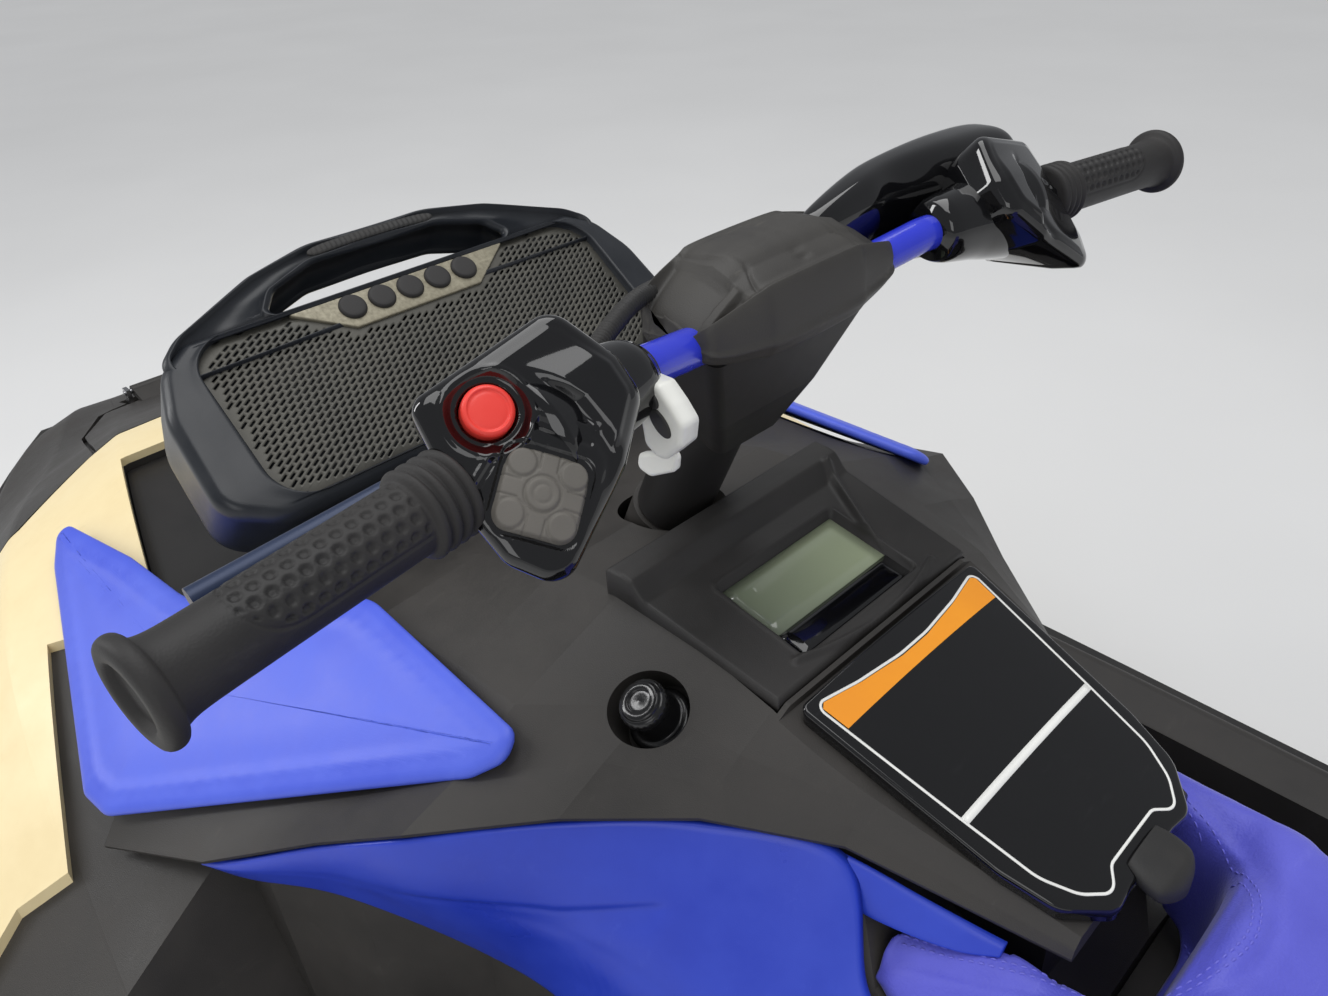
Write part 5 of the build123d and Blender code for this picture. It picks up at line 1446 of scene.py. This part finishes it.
seam = dict(half=[(92, 116), (50, 104), (15, 90), (-16, 74), (-38, 50), (-50, 26), (-55, 0)], crown=6.0,
            crownWidth=26, groove=2.6, grooveWidth=3.2, hump=14, humpHalf=140, humpStart=(10, 50),
            humpEnd=(60, 260), crossAt=-296, crossDepth=3, crossWidth=4, rearCrown=5, rearHalf=170,
            channels=[-540, -680, -820], channelDepth=4, channelWidth=5, stitchOut=7.5, stitchGap=4,
            stitchPitch=5.2, stitchHalf=1.7,
            stitch=[(0, 0.2, -0.3), (0.15, 0.5, 0.1), (0.5, 0.6, 0.35), (0.85, 0.5, 0.1), (1, 0.2, -0.3)])
seamLine = spline(np.array(seam["half"] + [(x, -y) for x, y in seam["half"][-2::-1]], float), 320)


# Top shape of the front cushion: a crown inside the horseshoe seam, a groove on it, a hump behind it
# that falls with the square of the distance across, and a cross seam
def frontLift(p):
    ab = p[:, :2]
    away = np.linalg.norm(ab[:, None] - seamLine[None, ::2], axis=-1).min(1)
    along, side = np.array(seam["half"][::-1], float).T
    inside = (np.abs(ab[:, 1]) < np.interp(ab[:, 0], along, side)) & (ab[:, 0] > along[0])
    lift = np.where(inside, seam["crown"] * softStep(away, 2, seam["crownWidth"]), 0)
    lift -= seam["groove"] * bell(away, seam["grooveWidth"])
    hump = softStep(-ab[:, 0], *seam["humpStart"]) * (1 - softStep(-ab[:, 0], *seam["humpEnd"]))
    lift += seam["hump"] * (1 - (ab[:, 1] / seam["humpHalf"]) ** 2) * hump
    return lift - seam["crossDepth"] * bell(ab[:, 0] - seam["crossAt"], seam["crossWidth"])


# Top shape of the rear cushion: a crown with three sewn channels across it
def rearLift(p):
    lift = seam["rearCrown"] * (1 - (p[:, 1] / seam["rearHalf"]) ** 2)
    for at in seam["channels"]:
        lift = lift - seam["channelDepth"] * bell(p[:, 0] - at, seam["channelWidth"])
    return lift


seatFront = cushionPiece("seatFront", "seat_front", cushion, frontLift)
seatRear = cushionPiece("seatRear", "seat_rear", cushion, rearLift)
place(seatFront, "craft", "blueVinyl", ["seat_front"])
place(seatRear, "craft", "blueVinyl", ["seat_rear"])
print("seat ready")


# Heights of a mesh's top surface under plan points, by a ray straight down
def dropOnto(obj, ab):
    tree = BVHTree.FromPolygons([v.co for v in obj.data.vertices], [p.vertices for p in obj.data.polygons])
    overhead = 0.8  # metres, above any cushion
    out = []
    for x, y in ab:
        hit = tree.ray_cast(Vector((x * mm, y * mm, overhead)), Vector((0, 0, -1)))[0]
        out.append(hit.z / mm if hit else 0.0)
    return np.array(out)


# Row of thread stitches beside a seam: one short capsule per pitch, its rings set by their share of its
# length, their radius and their height over the cover
def stitchRun(name, obj, line, s, offset):
    tangent = np.gradient(line, axis=0)
    tangent /= np.linalg.norm(tangent, axis=1, keepdims=True)
    side = np.stack([-tangent[:, 1], tangent[:, 0]], -1)
    run = line + side * offset
    along = runLength(run)
    at = np.arange(2, along[-1] - 2, s["stitchPitch"])
    points, faces = [], []
    t = np.linspace(0, 2 * math.pi, 8, endpoint=False)
    want = np.stack([at - s["stitchHalf"], at, at + s["stitchHalf"]])
    places = np.stack([np.interp(want, along, run[:, k]) for k in (0, 1)], -1)
    z = dropOnto(obj, places.reshape(-1, 2)).reshape(3, -1)
    for k in np.nonzero(z.min(0) > 0)[0]:
        a = np.append(places[0, k], z[0, k])
        b = np.append(places[2, k], z[2, k])
        d = unit(b - a)
        w = unit(np.cross(d, [0, 0, 1]))
        v = np.cross(w, d)
        rings = []
        for share, radius, high in s["stitch"]:
            c = a + (b - a) * share + np.array([0, 0, high])
            rings.append(c + radius * (w * np.cos(t)[:, None] + v * np.sin(t)[:, None]))
        base = sum(len(p) for p in points)
        points.append(np.vstack(rings))
        faces += (gridFaces(len(rings), len(t), True) + base).tolist()
    return meshObject(name, np.vstack(points), faces)


for name, offset in (("seatStitchOuter", seam["stitchOut"]),
                     ("seatStitchInner", seam["stitchOut"] + seam["stitchGap"])):
    place(stitchRun(name, seatFront, seamLine, seam, offset), "craft", "vinylThread")
print("stitching ready")

# Centre pad: squared sections along the bar, a raised band, arcs, slats at the port end and a lip

pad = dict(y=[-84, -76, -46, -30, 30, 46, 76, 84], rear=[262, 252, 247, 245, 245, 247, 252, 262],
           front=[296, 308, 315, 317, 317, 315, 308, 296], low=[792, 785, 778, 776, 776, 778, 785, 792],
           high=[808, 817, 826, 829, 829, 826, 817, 808], power=0.34, lean=5, narrow=0.10,
           topFrom=(0.80, 0.97), rows=130, sides=180, bevelX=0.16, bevelY=0.22, bevelFrom=52,
           bandMiddle=277, bandHalfX=8, bandHalf=54, bandRise=1.3,
           arcs=[(303, 18, 27), (303, -18, 27), (250, 20, 24), (250, -20, 24)], arcDepth=1.3, arcWidth=0.9,
           slatX=(262, 284), slatFrom=50, slatTo=80, slatBed=3.4, slatRise=4.6, slatWidth=4.5, lip=1.6,
           lipAt=-0.55, lipWidth=0.12)


# Squared sections whose size follows smooth curves across the craft; the top is bevelled both ways, then
# raised by the band and sunk on the arcs and round the slats
def padPiece(s):
    rows = spline(np.stack([s["y"], s["rear"], s["front"], s["low"], s["high"]], -1), s["rows"])
    cx, cz = squaredCircle(s["sides"], s["power"], s["power"])
    y, rear, front, low, high = rows.T[:, :, None]
    upper = np.clip(cz, 0, 1)
    x = (rear + front) / 2 + (front - rear) / 2 * cx * (1 - s["narrow"] * upper)
    z = (low + high) / 2 + (high - low) / 2 * cz + s["lean"] * cx * upper
    y = np.broadcast_to(y, x.shape)
    top = softStep(cz, *s["topFrom"])
    middle = (rear + front) / 2
    bevel = np.abs(x - middle) * s["bevelX"] + np.clip(np.abs(y) - s["bevelFrom"], 0, None) * s["bevelY"]
    z = z - bevel * top
    band = 1 - softStep(np.abs(x - s["bandMiddle"]), s["bandHalfX"], s["bandHalfX"] + 1)
    band = band * (1 - softStep(np.abs(y), s["bandHalf"], s["bandHalf"] + 1.2))
    z = z + s["bandRise"] * band * top
    for xAt, yAt, radius in s["arcs"]:
        z = z - s["arcDepth"] * bell(np.hypot(x - xAt, y - yAt) - radius, s["arcWidth"]) * top * (1 - band)
    end = softStep(y, s["slatFrom"], s["slatFrom"] + 2) * (1 - softStep(y, s["slatTo"], s["slatTo"] + 2))
    halfSlat = s["slatWidth"] / 2
    slats = sum(1 - softStep(np.abs(x - at), halfSlat, halfSlat + 0.8) for at in s["slatX"])
    z = z + end * top * (s["slatRise"] * np.clip(slats, 0, 1) - s["slatBed"])
    x = x + np.sign(cx) * s["lip"] * bell(cz - s["lipAt"], s["lipWidth"])
    return ringSurface("centrePadCover", np.stack([x, y, z], -1))


padCover = place(padPiece(pad), "handlebar", "padRubber", ["centre_pad"])

# Key post: turned flange, neck and ribbed knob in its recess

post = dict(at=(254, 136, 580), axis=(0, 0.5, 0.86),
            profile=[(-11, 18), (-9, 20), (-4, 20), (-2, 18), (-1, 14.5), (3, 12.5), (9, 11.4), (13, 11.8),
                     (15, 14.0), (17, 14.8), (21, 14.8), (23, 14.0), (24, 12.4), (25.4, 11.8), (26.2, 10),
                     (26, 7.5), (25.2, 6.5), (25.2, 3), (25.4, 0)],
            ribs=24, ribHeight=0.5, ribStart=(14.5, 16.5), ribEnd=(21.5, 23), sides=120)


# Profile turned about its axis; on the knob the radius gains the size of a sine of the bearing
def postPiece(s):
    run = spline(np.array(s["profile"], float), 80)
    axis = unit(s["axis"])
    side = unit(np.cross(axis, [1, 0, 0]))
    up = np.cross(axis, side)
    t = np.linspace(0, 2 * math.pi, s["sides"], endpoint=False)
    circle = side * np.cos(t)[:, None] + up * np.sin(t)[:, None]
    h, r = run[:, :1], np.maximum(run[:, 1:], 0.01)
    ribs = s["ribHeight"] * np.abs(np.sin(s["ribs"] / 2 * t))
    ribs = ribs * softStep(h, *s["ribStart"]) * (1 - softStep(h, *s["ribEnd"]))
    rings = np.array(s["at"], float) + axis * h[..., None] + circle * (r + ribs)[..., None]
    return ringSurface("keyPost", rings)


place(postPiece(post), "craft", "glossRubber", ["key_post"])

# Cable clip: pale bent plate with a collar on the bar and two dark oval pads

clip = dict(y=(123.5, 136.5), outline=[(2, -6, 5), (-8, 4, 5), (-24, 4, 4), (-33, -4, 6), (-40, -12, 5),
                                       (-38, -24, 6), (-24, -38, 8), (-12, -32, 6), (-10, -18, 6)],
            foot=[(-26, -34, 4), (2, -46, 4), (4, -55, 4), (-6, -57, 5), (-24, -47, 5)], footShift=-8,
            faceShift=6, padShift=1.2, plateRim=(12, 3), footRim=(5, 2), padRim=(3, 1.0), collarRadius=15.2,
            collarRound=1.6,
            pads=[(-18, -3, 4.4, 7.5, -1.0), (-25, -15, 4.8, 8.5, -0.8)])  # middle, half sizes and turn


# Plate and foot stand upright across the bar, each an outline with a rolled rim; the collar's radius
# falls at its ends with the sixth power; the pads are turned ellipses on the plate
def clipPiece(s):
    at = barPoint(sum(s["y"]) / 2)

    # Upright plane square to the bar: a runs forward, b up, h along the bar
    def lift(ab, h=0.0):
        ab = np.asarray(ab, float)
        h = np.broadcast_to(h, ab.shape[:-1])
        return at + np.stack([ab[..., 0], h + s["faceShift"], ab[..., 1]], -1)

    # The same upright plane, moved along the bar
    def shifted(shift):
        return lambda ab, h=0.0: lift(ab, h + shift)
    plate = platePiece("clipPlate", roundedOutline(s["outline"], 260), roundRim(*s["plateRim"]), lift)
    foot = platePiece("clipFoot", roundedOutline(s["foot"], 160), roundRim(*s["footRim"]),
                      shifted(s["footShift"]), rings=8)
    ys = np.linspace(*s["y"], 14)
    radius = s["collarRadius"] - s["collarRound"] * np.abs(np.linspace(-1, 1, 14)) ** 6
    collar = tubePiece("clipCollar", barPoint(ys), radius, 64)
    pads = []
    t = np.linspace(0, 2 * math.pi, 64, endpoint=False)
    for k, (a, b, short, long, turn) in enumerate(s["pads"]):
        u, v = short * np.cos(t), long * np.sin(t)
        c, w = math.cos(turn), math.sin(turn)
        oval = np.stack([a + u * c - v * w, b + u * w + v * c], -1)
        pads.append(platePiece(f"clipPad{k}", oval, roundRim(*s["padRim"]), shifted(s["padShift"]), rings=8))
    return joinPieces("cableClip", [plate, foot]), joinPieces("clipPads", pads + [collar])


clipBody, clipPads = clipPiece(clip)
place(clipBody, "handlebar", "paleClip", ["cable_clip"])
place(clipPads, "handlebar", "blackRubber")

# Foam mats: sections carried along the craft, with long grooves inside a plain border and rounded corners

matLook = dict(pitch=14.0, depth=1.7, border=16.0, corner=26.0, edge=2.2, rollDepth=1.4, thickness=7.7,
               across=210, along=44)
footMat = dict(rows=[(-946, 354, 94, 60), (290, 354, 94, 60)], foot=52.3)
sternMat = dict(rows=[(-1610, 0, 390, 147), (-1500, 0, 420, 154), (-1140, 0, 430, 162)], foot=None)


# Sections along the craft, rows of distance forward, middle, half width and top: the half width narrows
# by a quarter circle at both ends, and the grooves are a raised cosine of the distance across
def matPiece(name, mat, s):
    xs, centres, halves, tops = np.array(mat["rows"], float).T
    x0, x1 = xs[0], xs[-1]
    t = (1 - np.cos(np.linspace(0, math.pi, s["along"]))) / 2
    x = x0 + (x1 - x0) * t
    fromEnd = np.minimum(x - x0, x1 - x)
    r = s["corner"]
    taken = r - np.sqrt(np.clip(r ** 2 - np.clip(r - fromEnd, 0, r) ** 2, 0, None))
    half = (np.interp(x, xs, halves) - taken)[:, None]
    centre, top = np.interp(x, xs, centres)[:, None], np.interp(x, xs, tops)[:, None]
    v = np.linspace(-1, 1, s["across"])
    toSide = half * (1 - np.abs(v))
    groove = (0.5 + 0.5 * np.cos(2 * math.pi * v * half / s["pitch"])) ** 4
    toEnd = fromEnd[:, None]
    inner = softStep(toSide, s["border"] - 2, s["border"]) * softStep(toEnd, s["border"], s["border"] + 4)
    roll = 1 - softStep(np.minimum(toSide, toEnd), -0.1, s["edge"])
    z = top - s["depth"] * groove * inner - s["rollDepth"] * roll
    y = centre + v * half
    foot = top - s["thickness"] if mat["foot"] is None else np.full_like(top, mat["foot"])
    upper = np.stack([np.broadcast_to(x[:, None], y.shape), y, z], -1)
    low = [np.concatenate([x[:, None], centre + half * side, foot], -1) for side in (1, 0.5, 0, -0.5, -1)]
    return ringSurface(name, np.concatenate([upper, np.stack(low, 1)], 1))


matLeft = matPiece("footMatLeft", footMat, matLook)
matRight = mirrored(matLeft, "footMatRight")
place(matLeft, "craft", "matFoam", ["footwell_mat_left"])
place(matRight, "craft", "matFoam", ["footwell_mat_right"])
place(matPiece("sternMat", sternMat, matLook), "craft", "matFoam", ["platform_mat"])
print("mats ready")
